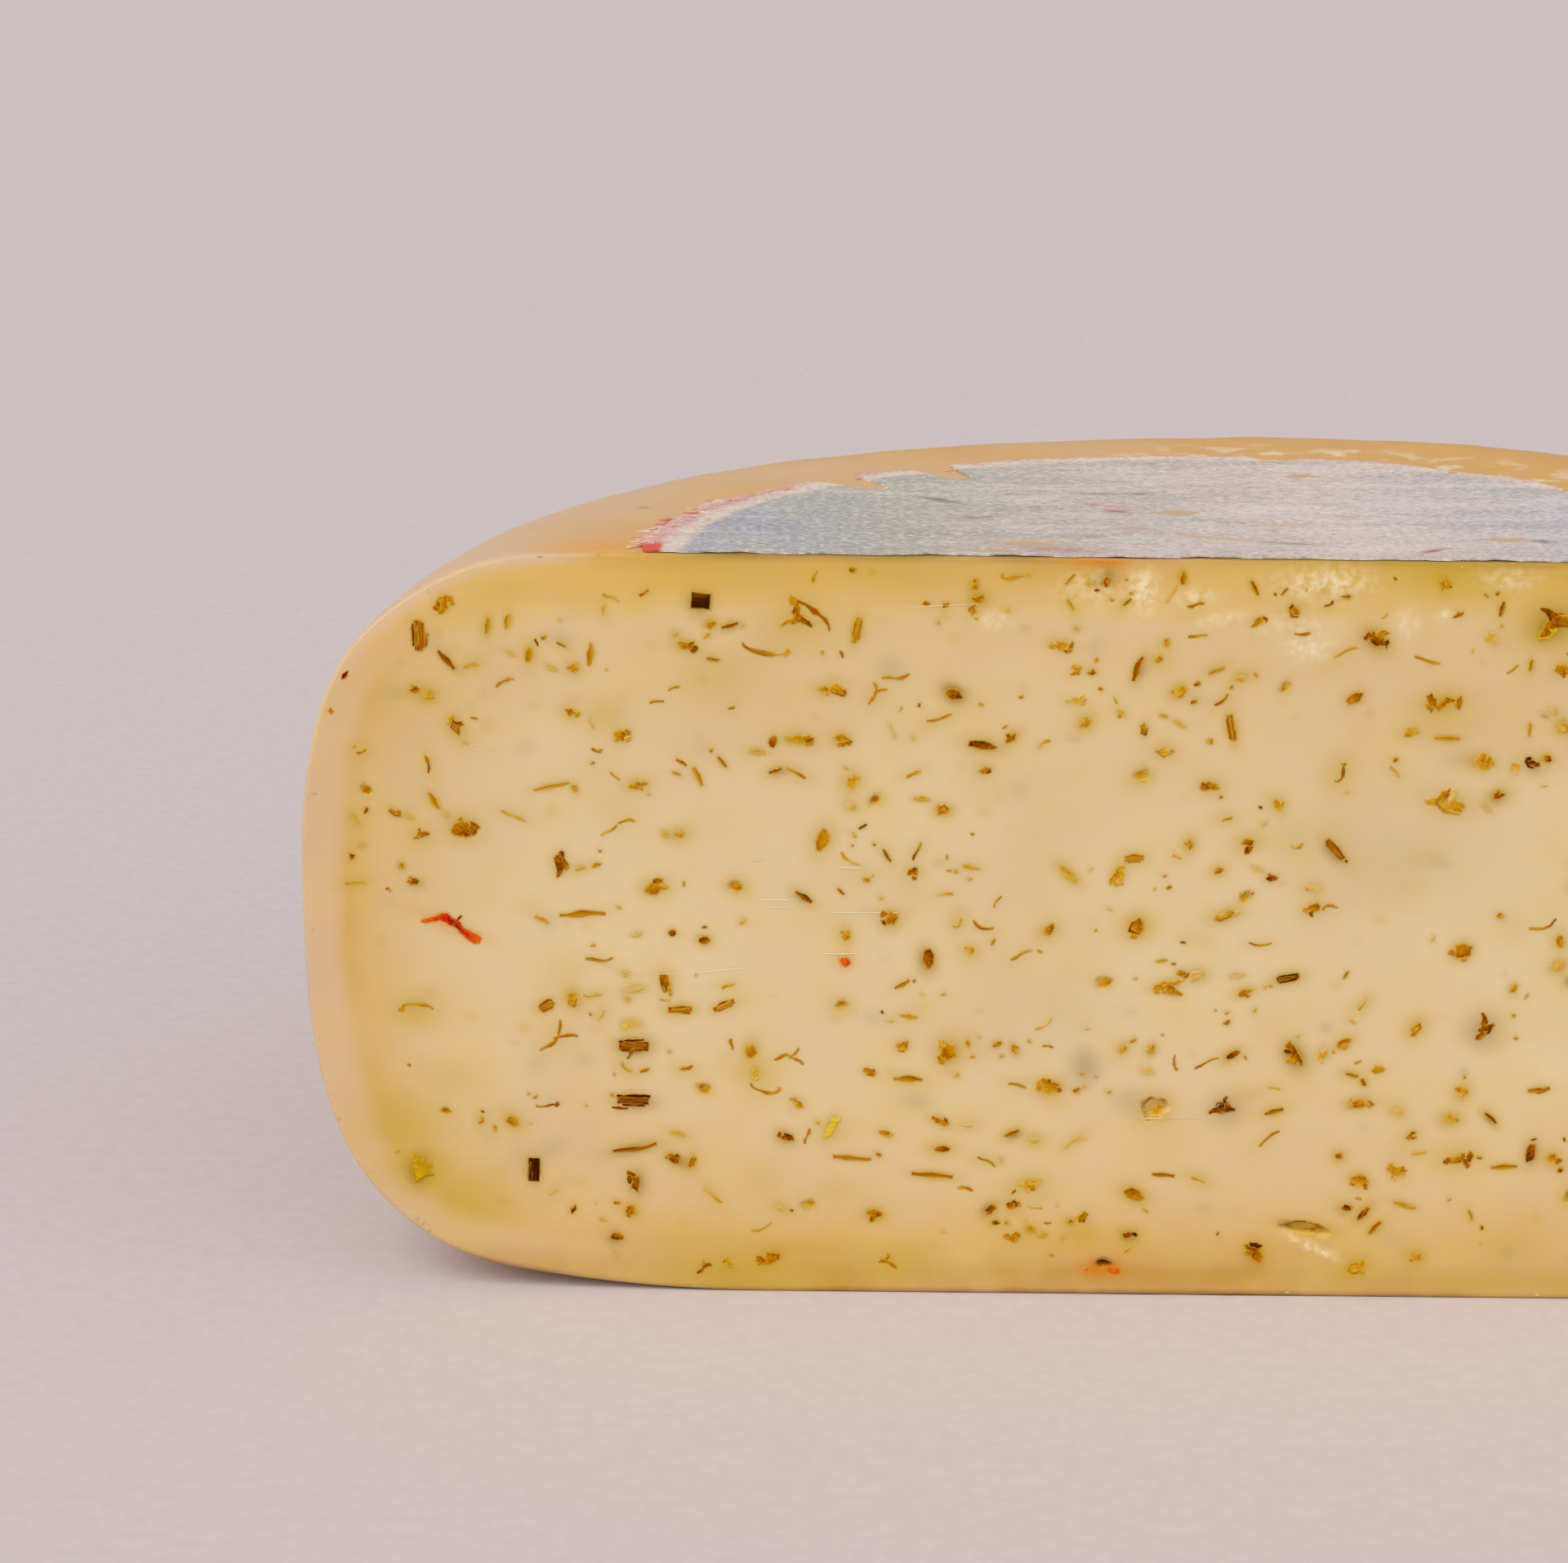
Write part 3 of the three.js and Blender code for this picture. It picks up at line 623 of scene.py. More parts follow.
# Waves per mm across and up, and phase, of the crumbled surface
TORN_WAVES = [(4.1, 1.7, 0.3), (-1.9, 4.6, 2.0), (3.3, -3.9, 4.1)]
TORN_DEPTH = 0.025
print(len(BLADE_WAVES), "waves of the blade and", len(TORN_PATCHES), "torn patches")

# %% Edge of the cut, and dents beside herbs
TUGS = 90
TUG_DEEPEST = 0.24

half_rim = [settle((radius, 0, height)) for radius, height in outline]
other_rim = [settle((-radius, 0, height)) for radius, height in outline]
loop = np.array([(p.x, p.z) for p in half_rim + other_rim[::-1]])

# Soft dents beside herbs that the blade tugged: across, up, half length, half width, tilt and depth
tug_draw = random.Random(11)
tugs = []
for _, across, up, long, *_ in tug_draw.sample(herbs, TUGS):
    beside = tug_draw.gauss(across, 0.8), tug_draw.gauss(up, 0.6)
    size = tug_draw.uniform(0.6, 1.0 + 0.25 * min(long, 3))
    slimness = tug_draw.uniform(0.4, 0.7)
    tugs.append((*beside, size, slimness * size, tug_draw.gauss(0, 35), tug_draw.uniform(0.06, TUG_DEEPEST)))
print(len(tugs), "soft dents, and", len(loop), "points round the cut")

# %% Relief function and its use
SPOT_END = 2.6
EDGE_EASE = 1.5


def spot_strength(x, z, rows):
    """The strength of the strongest of many soft oval spots, for arrays of places."""
    values = np.zeros(len(x))
    for across, up, half_long, half_wide, tilt, strength in rows:
        near = np.flatnonzero(np.hypot(x - across, z - up) < SPOT_END * max(half_long, half_wide))
        cos, sin = math.cos(math.radians(tilt)), math.sin(math.radians(tilt))
        along = ((x[near] - across) * cos + (z[near] - up) * sin) / half_long
        aside = ((z[near] - up) * cos - (x[near] - across) * sin) / half_wide
        values[near] = np.maximum(values[near], strength * np.exp(-(along**2) - aside**2))
    return values


def depth_under_rind(x, z):
    """How far places in the cut lie from its edge, in mm."""
    nearest = np.full(len(x), 1e3)
    for a, b in zip(loop, np.roll(loop, -1, axis=0)):
        span = b - a
        part = np.clip(((x - a[0]) * span[0] + (z - a[1]) * span[1]) / max(span @ span, 1e-9), 0, 1)
        nearest = np.minimum(nearest, np.hypot(x - a[0] - part * span[0], z - a[1] - part * span[1]))
    return nearest


def cut_relief(x, z):
    """Depth of the cut's surface behind its plane, in mm, at arrays of places. It eases out at the edge."""
    depth = sum(d * np.sin(fx * x + fz * z + phase) for fx, fz, d, phase in BLADE_WAVES)
    along_step = 1 / (1 + np.exp(-(x - KNIFE_STEP_ENDS[0]))) / (1 + np.exp(x - KNIFE_STEP_ENDS[1]))
    above_step = (1 + np.tanh((z - KNIFE_STEP_HEIGHT) / KNIFE_STEP_BLUR)) / 2
    depth = depth + KNIFE_STEP_DEPTH * along_step * above_step
    crumbled = sum(np.sin(a * x + b * z + phase) for a, b, phase in TORN_WAVES)
    depth = depth + TORN_DEPTH * crumbled * spot_strength(x, z, TORN_PATCHES) + spot_strength(x, z, tugs)
    for pit in pits:
        depth = depth + pit[4] * np.sqrt(np.clip(1 - in_pit(x, z, pit) ** 2, 0, None))
    (ax, az), (bx, bz), height = SLIVER
    part = np.clip(((x - ax) * (bx - ax) + (z - az) * (bz - az)) / ((bx - ax) ** 2 + (bz - az) ** 2), 0, 1)
    away = np.hypot(x - ax - part * (bx - ax), z - az - part * (bz - az))
    depth = depth - height * np.exp(-((away / SLIVER_HALF_WIDTH) ** 2))
    return depth * np.clip((depth_under_rind(x, z) - KNIFE_EDGE_ROUND) / EDGE_EASE, 0, 1)


cut_cells = cells_of_cut()
cut_verts = {vert for face in cut_cells for vert in face.verts}
free_verts = [v for v in cut_verts if all(f.normal.y < FLAT_NORMAL for f in v.link_faces)]
places = np.array([vert.co for vert in free_verts])
for vert, depth in zip(free_verts, cut_relief(places[:, 0], places[:, 2])):
    vert.co.y += depth
print(len(free_verts), "vertices moved, the deepest by", round(max(v.co.y for v in free_verts), 2), "mm")

# %% Uneven rind
# Slow swells of the rind: waves per mm along the three axes, height and phase
RIND_SWELLS = [(0.31, 0.2, 0.11, 0.05, 0.4), (0.12, -0.37, 0.3, 0.05, 2.1), (-0.5, 0.42, 0.55, 0.03, 3.3)]
# The base stays flat up to this height
BASE_SKIN = 0.5

rind_verts = [v for v in bm.verts if all(f.material_index == RIND_SLOT for f in v.link_faces)]
swollen = []
for vert in rind_verts:
    swell = sum(h * math.sin(Vector((a, b, c)).dot(vert.co) + phase) for a, b, c, h, phase in RIND_SWELLS)
    if vert.co.z > BASE_SKIN:
        swollen.append((vert, vert.normal * swell))
for vert, move in swollen:
    vert.co += move
for face in bm.faces:
    face.smooth = True
bm.normal_update()
print(len(swollen), "vertices of the rind moved")

# %% [markdown]
# ## Soft colours stored in the mesh
# Some colours follow the object and no simple formula: the depth under the rind, the yellow-green that a
# herb bleeds into the paste, the amber close about it, the grey ghost of one that lies just under the
# surface, torn patches where the paste crumbled, red juice about the chilli, painted shade in hollows and
# under herbs, and the label's shadow, painted as an olive line under it. All but the first are lists of
# soft oval spots. One function works them out for any place in the cut, and another stores them as
# numbers at a piece's vertices, where its material reads them.

# %% Lists of soft spots
# Places where herbs bleed most: across, up, reach and strength
STRONG_STAINS = [
    (44.5, 91.5, 5, 0.9), (-51, 92, 5, 0.6), (-76, 79.5, 3, 0.5), (-102, 17, 6, 0.8), (-99, 82, 3, 0.5),
    (-7.3, 51.3, 3, 0.5), (-57, 31, 3.5, 0.6), (-102, 39, 4, 0.6), (-39.5, 4.3, 5, 0.6), (-13.7, 8.5, 2.5, 0.7),
    (31, 79, 5, 0.4), (-29, 34, 3, 0.3), (35, 20, 4, 0.4), (-47, 23, 3, 0.4), (-21, 15, 4, 0.4), (22, 4, 4, 0.6),
    (-62, 85, 5, 0.35), (43, 8, 6, 0.45), (31, 96, 4, 0.4), (-73, 37.5, 1.4, 0.9), (-104, 23, 7, 0.6),
    (-96, 13, 7, 0.6), (-98, 30, 5, 0.3), (-90, 95, 5, 0.3),
]
# Yellow zones along the top and the bottom: across, up, half length, half height and strength
STAINED_EDGES = [
    (-57, 98.5, 12, 3.2, 0.4), (-38, 98.6, 14, 3.2, 0.4), (18, 98.6, 14, 2.8, 0.7), (33, 98.4, 12, 3.5, 0.9),
    (52, 98, 14, 3.5, 0.6), (-60, 2.5, 16, 6, 0.6), (46, 2, 18, 3.5, 0.4),
]
# A painted shadow under the label's front edge, as a dark olive line: across, half length, half width and
# strength
LABEL_SHADOW_LINES = [
    (-56, 10, 0.85, 0.95), (-38, 12, 0.8, 0.95), (-22, 9, 0.8, 0.8), (-4, 9, 0.65, 0.6), (12, 14, 0.65, 0.7),
    (28, 10, 0.75, 0.75), (42, 10, 0.75, 0.75), (56, 10, 0.75, 0.75), (70, 9, 0.75, 0.75),
]
LABEL_SHADOW_RISE = 0.4
# Red juice about the chilli, and painted shade in hollows and beside herbs: across, up, half length, half width,
# tilt and strength
CHILLI_STAINS = [
    (-11.4, 3.7, 2.7, 1.2, 4, 0.95), (-12.4, 99.7, 4.0, 0.6, -1, 0.9), (-45.2, 46.3, 1.1, 1.0, 0, 0.6),
    (-96.8, 50.9, 5.2, 1.1, -23, 0.4),
]
PAINTED_SHADE_SPOTS = [
    (-11.0, 4.5, 1.0, 0.45, -6, 1.0), (14.4, 10.3, 2.2, 0.25, -8, 0.6), (-31.1, 82.8, 1.4, 0.9, -20, 0.5),
    (-11.5, 97.6, 1.3, 1.0, 40, 0.45), (44.6, 91.8, 2.2, 1.6, 30, 0.4), (-73.1, 34.8, 2.2, 0.9, 0, 0.35),
]
# An amber place under the label, in the same order
LABEL_HALO = (-14, 98.4, 8, 2.2, 0, 0.45)
HAZES = 90
GHOSTS = 60
SMUDGES = 150
# Thin kinds leave less amber about them
THIN_KINDS = ("curl", "fork", "star", "thread")
THIN_SHARE = 0.2

# Each spot: across, up, half length, half width, tilt and strength
soft_spots = {
    "stain": [],
    # The last two spots darken wide parts of the middle and the right a little
    "ghost": [(-13.8, 32.3, 2.0, 2.6, 0, 0.6), (-17, 40, 9, 6, 0, 0.12), (26, 60, 14, 8, 0, 0.15)],
    "halo": [],
    "torn": [(16.5, 7.0, 3.6, 0.6, -26, 1)],
    "juice": CHILLI_STAINS,
    "hollow": list(PAINTED_SHADE_SPOTS),
}
for across, up, reach, strength in STRONG_STAINS:
    soft_spots["stain"].append((across, up, reach, 0.7 * reach, 0, strength))
for kind, across, up, long, wide, tilt, tone in herbs:
    half_long, half_wide = 0.5 * long, 0.5 * wide
    strength = draw.uniform(0.3, 1) * min(long / 1.2, 1) * (THIN_SHARE if kind in THIN_KINDS else 1)
    soft_spots["halo"].append((across, up, half_long + 0.3, half_wide + 0.3, tilt, strength))
    # A painted shade falls just below each large dark herb
    if long > 1.5 and tone < 0.35:
        under = draw.gauss(across, 0.4), up - 0.3
        strength = draw.uniform(0.1, 0.4)
        soft_spots["hollow"].append((*under, half_long + 0.2, half_wide + 0.3, tilt, strength))
    if long > 1.2 and draw.random() < 0.6:
        strength = draw.uniform(0.15, 0.5)
        soft_spots["stain"].append((across, up, half_long + 1.5, half_wide + 1.2, tilt, strength))
for name, count, smallest, largest, strongest in [
    ("stain", HAZES, 1.2, 5, 0.3), ("ghost", GHOSTS, 0.7, 2, 0.4), ("halo", SMUDGES, 0.4, 1.1, 0.35),
]:
    for i in range(count):
        across, up = draw.uniform(-0.94, 0.94) * WHEEL_RADIUS, draw.uniform(6, 94)
        reach = draw.uniform(smallest, largest)
        strength = strongest * draw.uniform(0.25, 1)
        half_wide, tilt = reach * draw.uniform(0.5, 1), draw.uniform(-20, 30)
        soft_spots[name].append((across, up, reach, half_wide, tilt, strength))
for across, up, long, high, strength in STAINED_EDGES:
    soft_spots["stain"].append((across, up, long, high, 0, strength))
soft_spots["edge_line"] = [
    (across, settle((across, 0, WHEEL_HEIGHT)).z + LABEL_SHADOW_RISE, long, wide, 0, strength)
    for across, long, wide, strength in LABEL_SHADOW_LINES
]
soft_spots["halo"].append(LABEL_HALO)
for across, up, long, wide, _, tilt in pits:
    soft_spots["halo"].append((across, up, 0.55 * long, 0.6 * wide, tilt, 0.9))
soft_spots["torn"] += TORN_PATCHES
print({name: len(rows) for name, rows in soft_spots.items()})

# %% Work the soft colours out and store them
SKIN_OF_CUT = 2.5


def soft_colours(x, z):
    """The depth under the rind and the strength of the soft spots, for arrays of places across and up."""
    values = {"rind_depth": depth_under_rind(x, z)}
    for name, rows in soft_spots.items():
        values[name] = spot_strength(x, z, rows)
    return values


def places_of(piece):
    """The places of a piece's vertices, in mm."""
    spots = np.empty(3 * len(piece.data.vertices))
    piece.data.vertices.foreach_get("co", spots)
    return spots.reshape(-1, 3) / MM


def store_colours(piece):
    """Stores the soft colours at the vertices of a piece that lies in the cut."""
    spots = places_of(piece)
    in_cut = spots[:, 1] < CUT_Y + SKIN_OF_CUT
    for name, values in soft_colours(spots[:, 0], spots[:, 2]).items():
        piece.data.attributes.new(name, "FLOAT", "POINT").data.foreach_set("value", values * in_cut)


cheese_body = finish_piece(bm, "cheese_body", [])
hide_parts("cheese")
store_colours(cheese_body)
print("Stored:", ", ".join(cheese_body.data.attributes.keys()))

# %% [markdown]
# ## Paste
# Young gouda is a waxy gel of fat and protein: light goes a millimetre or more in and comes out
# cream-coloured. Towards the rind the paste dries, turns deeper yellow and lets more light through. The
# outermost strip is pale again, partly a painted sheen of the rounded edge, and the very edge is painted
# darker against the highlight it catches. The side, the shoulder, the top and the bottom differ. Ramps
# over the stored depth give the bands, and noise and the stored spots lie over them. This colour is made
# by a function, because the rim of every herb has to fade into it.

# %% Bands of the paste, from the rind inwards
BAND_DEPTH = 32
BAND_SWAY = 14
# The first stops paint the rim: darker at the very edge against its highlight, then a pale strip that is partly
# a painted sheen
SIDE_BANDS = [
    (0.0, "#b8a28a"), (0.012, "#d4b694"), (0.025, "#dab991"), (0.12, "#dab98e"), (0.19, "#d4ac60"),
    (0.26, "#d8b46e"), (0.36, "#dbbb86"), (0.5, "#ddc291"), (1.0, "#e1ca9f"),
]
SHOULDER_BANDS = [
    (0.0, "#bca690"), (0.012, "#d6bc9c"), (0.025, "#dfc2a0"), (0.06, "#e3bd74"), (0.12, "#dfb766"),
    (0.19, "#debb76"), (0.27, "#dec292"), (1.0, "#e1ca9f"),
]
TOP_BANDS = [
    (0.0, "#c29c52"), (0.012, "#d2aa56"), (0.03, "#deb25a"), (0.12, "#deb562"), (0.19, "#debb76"),
    (0.27, "#dec292"), (1.0, "#e1ca9f"),
]
BOTTOM_BANDS = [
    (0.0, "#7d4c26"), (0.015, "#a87a3a"), (0.03, "#c79b4c"), (0.1, "#c59b4a"), (0.2, "#d3ac62"),
    (0.45, "#dfbc7f"), (1.0, "#e1ca9f"),
]
# Where one set of bands goes over into the next, in mm aside from the middle or up
SHOULDER_LIMITS = (74.0, 85.0)
SIDE_LIMITS = (92.0, 80.0)
BOTTOM_LIMITS = (9.0, 3.0)


def band_colour(tree, place):
    """The colour that depends on the depth under the side, the shoulder, the top or the bottom."""
    depth = add_node(tree, "Attribute", {"attribute_name": "rind_depth"}).outputs["Fac"]
    uneven = add_node(tree, "TexNoise", inputs={"Vector": place, "Scale": 1 / BAND_SWAY, "Detail": 3.0})
    sway = add_node(tree, "MapRange", inputs={"Value": uneven.outputs["Fac"], "To Min": 0.75, "To Max": 1.25})
    swayed = add_node(tree, "Math", {"operation": "MULTIPLY"}, {0: depth, 1: sway.outputs["Result"]})
    part = add_node(tree, "Math", {"operation": "DIVIDE"}, {0: swayed.outputs["Value"], 1: BAND_DEPTH})
    axes = add_node(tree, "SeparateXYZ", inputs={"Vector": place}).outputs
    aside = add_node(tree, "Math", {"operation": "ABSOLUTE"}, {0: axes["X"]}).outputs["Value"]
    colour = add_node(tree, "ValToRGB", inputs={"Fac": part.outputs["Value"]}, stops=TOP_BANDS).outputs["Color"]
    for bands, value, (starts, ends) in [
        (SHOULDER_BANDS, aside, SHOULDER_LIMITS), (SIDE_BANDS, axes["Z"], SIDE_LIMITS),
        (BOTTOM_BANDS, axes["Z"], BOTTOM_LIMITS),
    ]:
        ramp = add_node(tree, "ValToRGB", inputs={"Fac": part.outputs["Value"]}, stops=bands).outputs["Color"]
        limits = {"Value": value, "From Min": starts, "From Max": ends}
        near = add_node(tree, "MapRange", {"interpolation_type": "SMOOTHSTEP"}, limits).outputs["Result"]
        layer = {FACTOR: near, COLOUR_A: colour, COLOUR_B: ramp}
        colour = add_node(tree, "Mix", {"data_type": "RGBA"}, layer).outputs[MIXED]
    return colour


print("Stops in the bands:", [len(bands) for bands in (SIDE_BANDS, SHOULDER_BANDS, TOP_BANDS, BOTTOM_BANDS)])

# %% Clouds, stains, ghosts and torn paste over the bands
CLOUD_SIZE = 30
HAZE_SIZE = 11
CRUMBLE_SIZE = 1.2
CLOUD_COLOUR = "#d8b88a"
HAZE_COLOUR = "#ddc07c"
STAIN_COLOUR = "#cba93a"
HALO_COLOUR = "#c79806"
# The label's shadow, painted on the cut
LABEL_SHADOW_COLOUR = "#6e4e0a"
JUICE_COLOUR = "#d47e00"
# Painted shade in hollows and under herbs
PAINTED_SHADE_COLOUR = "#521a04"
GHOST_COLOUR = "#a8956c"
TORN_COLOUR = "#efdfba"


def paste_colour(tree, place):
    """The colour of the cut paste, and where it is crumbled."""
    masks = {}
    for name, size, low, high, least, most in [
        ("cloud", CLOUD_SIZE, 0.42, 0.7, 0.0, 0.6), ("haze", HAZE_SIZE, 0.45, 0.75, 0.0, 0.5),
        ("crumbled", CRUMBLE_SIZE, 0.4, 0.6, 0.25, 1.0),
    ]:
        noise = add_node(tree, "TexNoise", inputs={"Vector": place, "Scale": 1 / size, "Detail": 4.0})
        limits = {
            "Value": noise.outputs["Fac"], "From Min": low, "From Max": high, "To Min": least, "To Max": most,
        }
        masks[name] = add_node(tree, "MapRange", inputs=limits).outputs["Result"]
    for name in soft_spots:
        masks[name] = add_node(tree, "Attribute", {"attribute_name": name}).outputs["Fac"]
    in_patch = {0: masks["crumbled"], 1: masks["torn"]}
    crumbled = add_node(tree, "Math", {"operation": "MULTIPLY"}, in_patch).outputs["Value"]
    colour = band_colour(tree, place)
    for mask, tint in [
        (masks["cloud"], CLOUD_COLOUR), (masks["haze"], HAZE_COLOUR), (masks["stain"], STAIN_COLOUR),
        (masks["ghost"], GHOST_COLOUR), (masks["halo"], HALO_COLOUR), (crumbled, TORN_COLOUR),
        (masks["edge_line"], LABEL_SHADOW_COLOUR), (masks["juice"], JUICE_COLOUR), (masks["hollow"], PAINTED_SHADE_COLOUR),
    ]:
        layer = {FACTOR: mask, COLOUR_A: colour, COLOUR_B: linear(tint)}
        colour = add_node(tree, "Mix", {"data_type": "RGBA"}, layer).outputs[MIXED]
    return colour, crumbled


print("Clouds are about", CLOUD_SIZE, "mm wide, hazes", HAZE_SIZE, "mm")

# %% [markdown]
# Subsurface scattering gives the paste its softness. The knife leaves streaks: a bump drawn out sideways,
# which also changes how rough the surface is. The real streaks are finer than a pixel, so they are drawn
# half a millimetre wide.

# %% Cut paste
STREAK_LENGTH = 45
STREAK_WIDTH = 0.45
STREAK_DEPTH = 0.03
CRUMBLE_DEPTH = 0.1
CRUMBLE_DULLNESS = 0.45
STREAK_TILT = math.radians(2)
STREAK_ROUGHNESS = (0.34, 0.52)


def cut_surface(tree, shader, place, crumbled):
    """Adds the knife's streaks and the crumbled relief to a shader of the cut."""
    drawn_out = add_node(tree, "Mapping", inputs={
        "Vector": place, "Rotation": (0, STREAK_TILT, 0), "Scale": (1 / STREAK_LENGTH, 1.0, 1 / STREAK_WIDTH),
    }).outputs["Vector"]
    streak = add_node(tree, "TexNoise", inputs={
        "Vector": drawn_out, "Scale": 1.0, "Detail": 2.0,
    }).outputs["Fac"]
    streaked = add_node(tree, "Bump", inputs={
        "Height": streak, "Strength": 0.5, "Distance": STREAK_DEPTH * MM,
    }).outputs["Normal"]
    crumbly = add_node(tree, "Bump", inputs={
        "Height": crumbled, "Strength": 0.8, "Distance": CRUMBLE_DEPTH * MM, "Normal": streaked,
    }).outputs["Normal"]
    tree.links.new(crumbly, shader.inputs["Normal"])
    sheen = add_node(tree, "MapRange", inputs={
        "Value": streak, "To Min": STREAK_ROUGHNESS[0], "To Max": STREAK_ROUGHNESS[1],
    }).outputs["Result"]
    dull = {0: crumbled, 1: CRUMBLE_DULLNESS, 2: sheen}
    rough = add_node(tree, "Math", {"operation": "MULTIPLY_ADD"}, dull).outputs["Value"]
    tree.links.new(rough, shader.inputs["Roughness"])


paste, tree, shader, place = start_finish(
    "gouda paste, knife-cut", IOR=1.46, Specular_IOR_Level=0.15, Subsurface_Weight=0.6, Subsurface_Scale=0.001,
    Subsurface_Radius=(1.0, 0.6, 0.25),
)
colour, crumbled = paste_colour(tree, place)
tree.links.new(colour, shader.inputs["Base Color"])
cut_surface(tree, shader, place, crumbled)
print("Knife streaks are", STREAK_WIDTH, "mm wide")

# %% [markdown]
# ## Rind
# The rind is the dried outer paste under a thin breathing coat that the cheese maker brushes on. It shows
# as a satin orange-tan skin, with slow changes from peach to yellow, small brown flecks where a herb lies
# close under it, and fine pores. Behind the label pale remains of paper cling to it, under its front edge
# the label's shadow is painted dark, and at its left end an orange glow is painted. Noise at several sizes
# gives the clouds, the remains, the flecks and the pores.

# %% Coated rind
RIND_CLOUD = 26
FLECK_SPACING = 9
REMAINS_SIZE = 5
PORE_SIZE = 0.8
PORE_DEPTH = 0.06
DENT_SIZE = 6
DENT_DEPTH = 0.35
PEACH_END, ORANGE_END = -100.0, 20.0
GLOW_AT = (-75.0, 2.0, 100.5)
GLOW_REACH = 15.0
RIND_COLOURS = [(0.0, "#dfb78c"), (0.5, "#deae72"), (1.0, "#dfa650")]
# Colour of the orange glow that is painted on the rind
ORANGE_GLOW_COLOUR = "#e8a234"
REMAINS_COLOUR = "#ead3a8"
# Colour of the label's shadow, painted on the rind
LABEL_SHADOW_ON_RIND = "#7d5c12"
FLECK_COLOUR = "#96602a"

rind, tree, shader, place = start_finish(
    "gouda rind, brushed coat", Roughness=0.4, IOR=1.46, Subsurface_Weight=0.4, Subsurface_Scale=0.002,
    Subsurface_Radius=(1.0, 0.5, 0.2), Coat_Weight=0.15, Coat_Roughness=0.3,
)
across = add_node(tree, "SeparateXYZ", inputs={"Vector": place}).outputs["X"]
ripeness = add_node(tree, "MapRange", inputs={"Value": across, "From Min": PEACH_END, "From Max": ORANGE_END})
cloud, patches, pores, dents = [
    add_node(tree, "TexNoise", inputs={"Vector": place, "Scale": 1 / size, "Detail": detail}).outputs["Fac"]
    for size, detail in [(RIND_CLOUD, 4.0), (REMAINS_SIZE, 5.0), (PORE_SIZE, 3.0), (DENT_SIZE, 4.0)]
]
sway = add_node(tree, "MapRange", inputs={"Value": cloud, "To Min": -0.8, "To Max": 0.8}).outputs["Result"]
ripe = add_node(tree, "Math", {"operation": "ADD"}, {0: ripeness.outputs["Result"], 1: sway}).outputs["Value"]
colour = add_node(tree, "ValToRGB", inputs={"Fac": ripe}, stops=RIND_COLOURS).outputs["Color"]
# A painted orange glow on the rind, strongest at one spot by the label's left end
from_glow = add_node(tree, "VectorMath", {"operation": "DISTANCE"}, {0: place, 1: GLOW_AT}).outputs["Value"]
glow = add_node(tree, "MapRange", {"interpolation_type": "SMOOTHSTEP"}, {
    "Value": from_glow, "From Min": 0.0, "From Max": GLOW_REACH, "To Min": 0.8, "To Max": 0.0,
}).outputs["Result"]
colour = add_node(tree, "Mix", {"data_type": "RGBA"}, {
    FACTOR: glow, COLOUR_A: colour, COLOUR_B: linear(ORANGE_GLOW_COLOUR),
}).outputs[MIXED]
flat = add_node(tree, "VectorMath", {"operation": "MULTIPLY"}, {0: place, 1: (1, 1, 0)}).outputs["Vector"]
radius = add_node(tree, "VectorMath", {"operation": "LENGTH"}, {0: flat}).outputs["Value"]
parts = []
for value, starts, ends in [(patches, 0.53, 0.62), (radius, 82.0, 74.0), (across, -20.0, 10.0)]:
    limits = {"Value": value, "From Min": starts, "From Max": ends}
    parts.append(add_node(tree, "MapRange", inputs=limits).outputs["Result"])
remains = add_node(tree, "Math", {"operation": "MULTIPLY"}, {0: parts[0], 1: parts[1]}).outputs["Value"]
remains = add_node(tree, "Math", {"operation": "MULTIPLY"}, {0: remains, 1: parts[2]}).outputs["Value"]
colour = add_node(tree, "Mix", {"data_type": "RGBA"}, {
    FACTOR: remains, COLOUR_A: colour, COLOUR_B: linear(REMAINS_COLOUR),
}).outputs[MIXED]
# A painted shadow darkens the rind under the label's front edge
aside = add_node(tree, "Math", {"operation": "ABSOLUTE"}, {0: across}).outputs["Value"]
behind = add_node(tree, "SeparateXYZ", inputs={"Vector": place}).outputs["Y"]
parts = []
for value, starts, ends in [(aside, 72.0, 66.0), (behind, 3.0, 1.0)]:
    limits = {"Value": value, "From Min": starts, "From Max": ends}
    parts.append(add_node(tree, "MapRange", inputs=limits).outputs["Result"])
shadowed_under_label = add_node(tree, "Math", {"operation": "MULTIPLY"}, {0: parts[0], 1: parts[1]}).outputs["Value"]
colour = add_node(tree, "Mix", {"data_type": "RGBA"}, {
    FACTOR: shadowed_under_label, COLOUR_A: colour, COLOUR_B: linear(LABEL_SHADOW_ON_RIND),
}).outputs[MIXED]
fleck = add_node(tree, "TexVoronoi", inputs={"Vector": place, "Scale": 1 / FLECK_SPACING, "Randomness": 1.0})
fleck_size = add_node(tree, "MapRange", inputs={
    "Value": fleck.outputs["Distance"], "From Min": 0.05, "From Max": 0.16, "To Min": 1.0, "To Max": 0.0,
}).outputs["Result"]
fleck_choice = add_node(tree, "SeparateColor", inputs={"Color": fleck.outputs["Color"]}).outputs["Red"]
fleck_choice = add_node(tree, "MapRange", inputs={
    "Value": fleck_choice, "From Min": 0.72, "From Max": 1.0, "To Max": 0.7,
}).outputs["Result"]
fleck_here = add_node(tree, "Math", {"operation": "MULTIPLY"}, {0: fleck_size, 1: fleck_choice}).outputs["Value"]
colour = add_node(tree, "Mix", {"data_type": "RGBA"}, {
    FACTOR: fleck_here, COLOUR_A: colour, COLOUR_B: linear(FLECK_COLOUR),
}).outputs[MIXED]
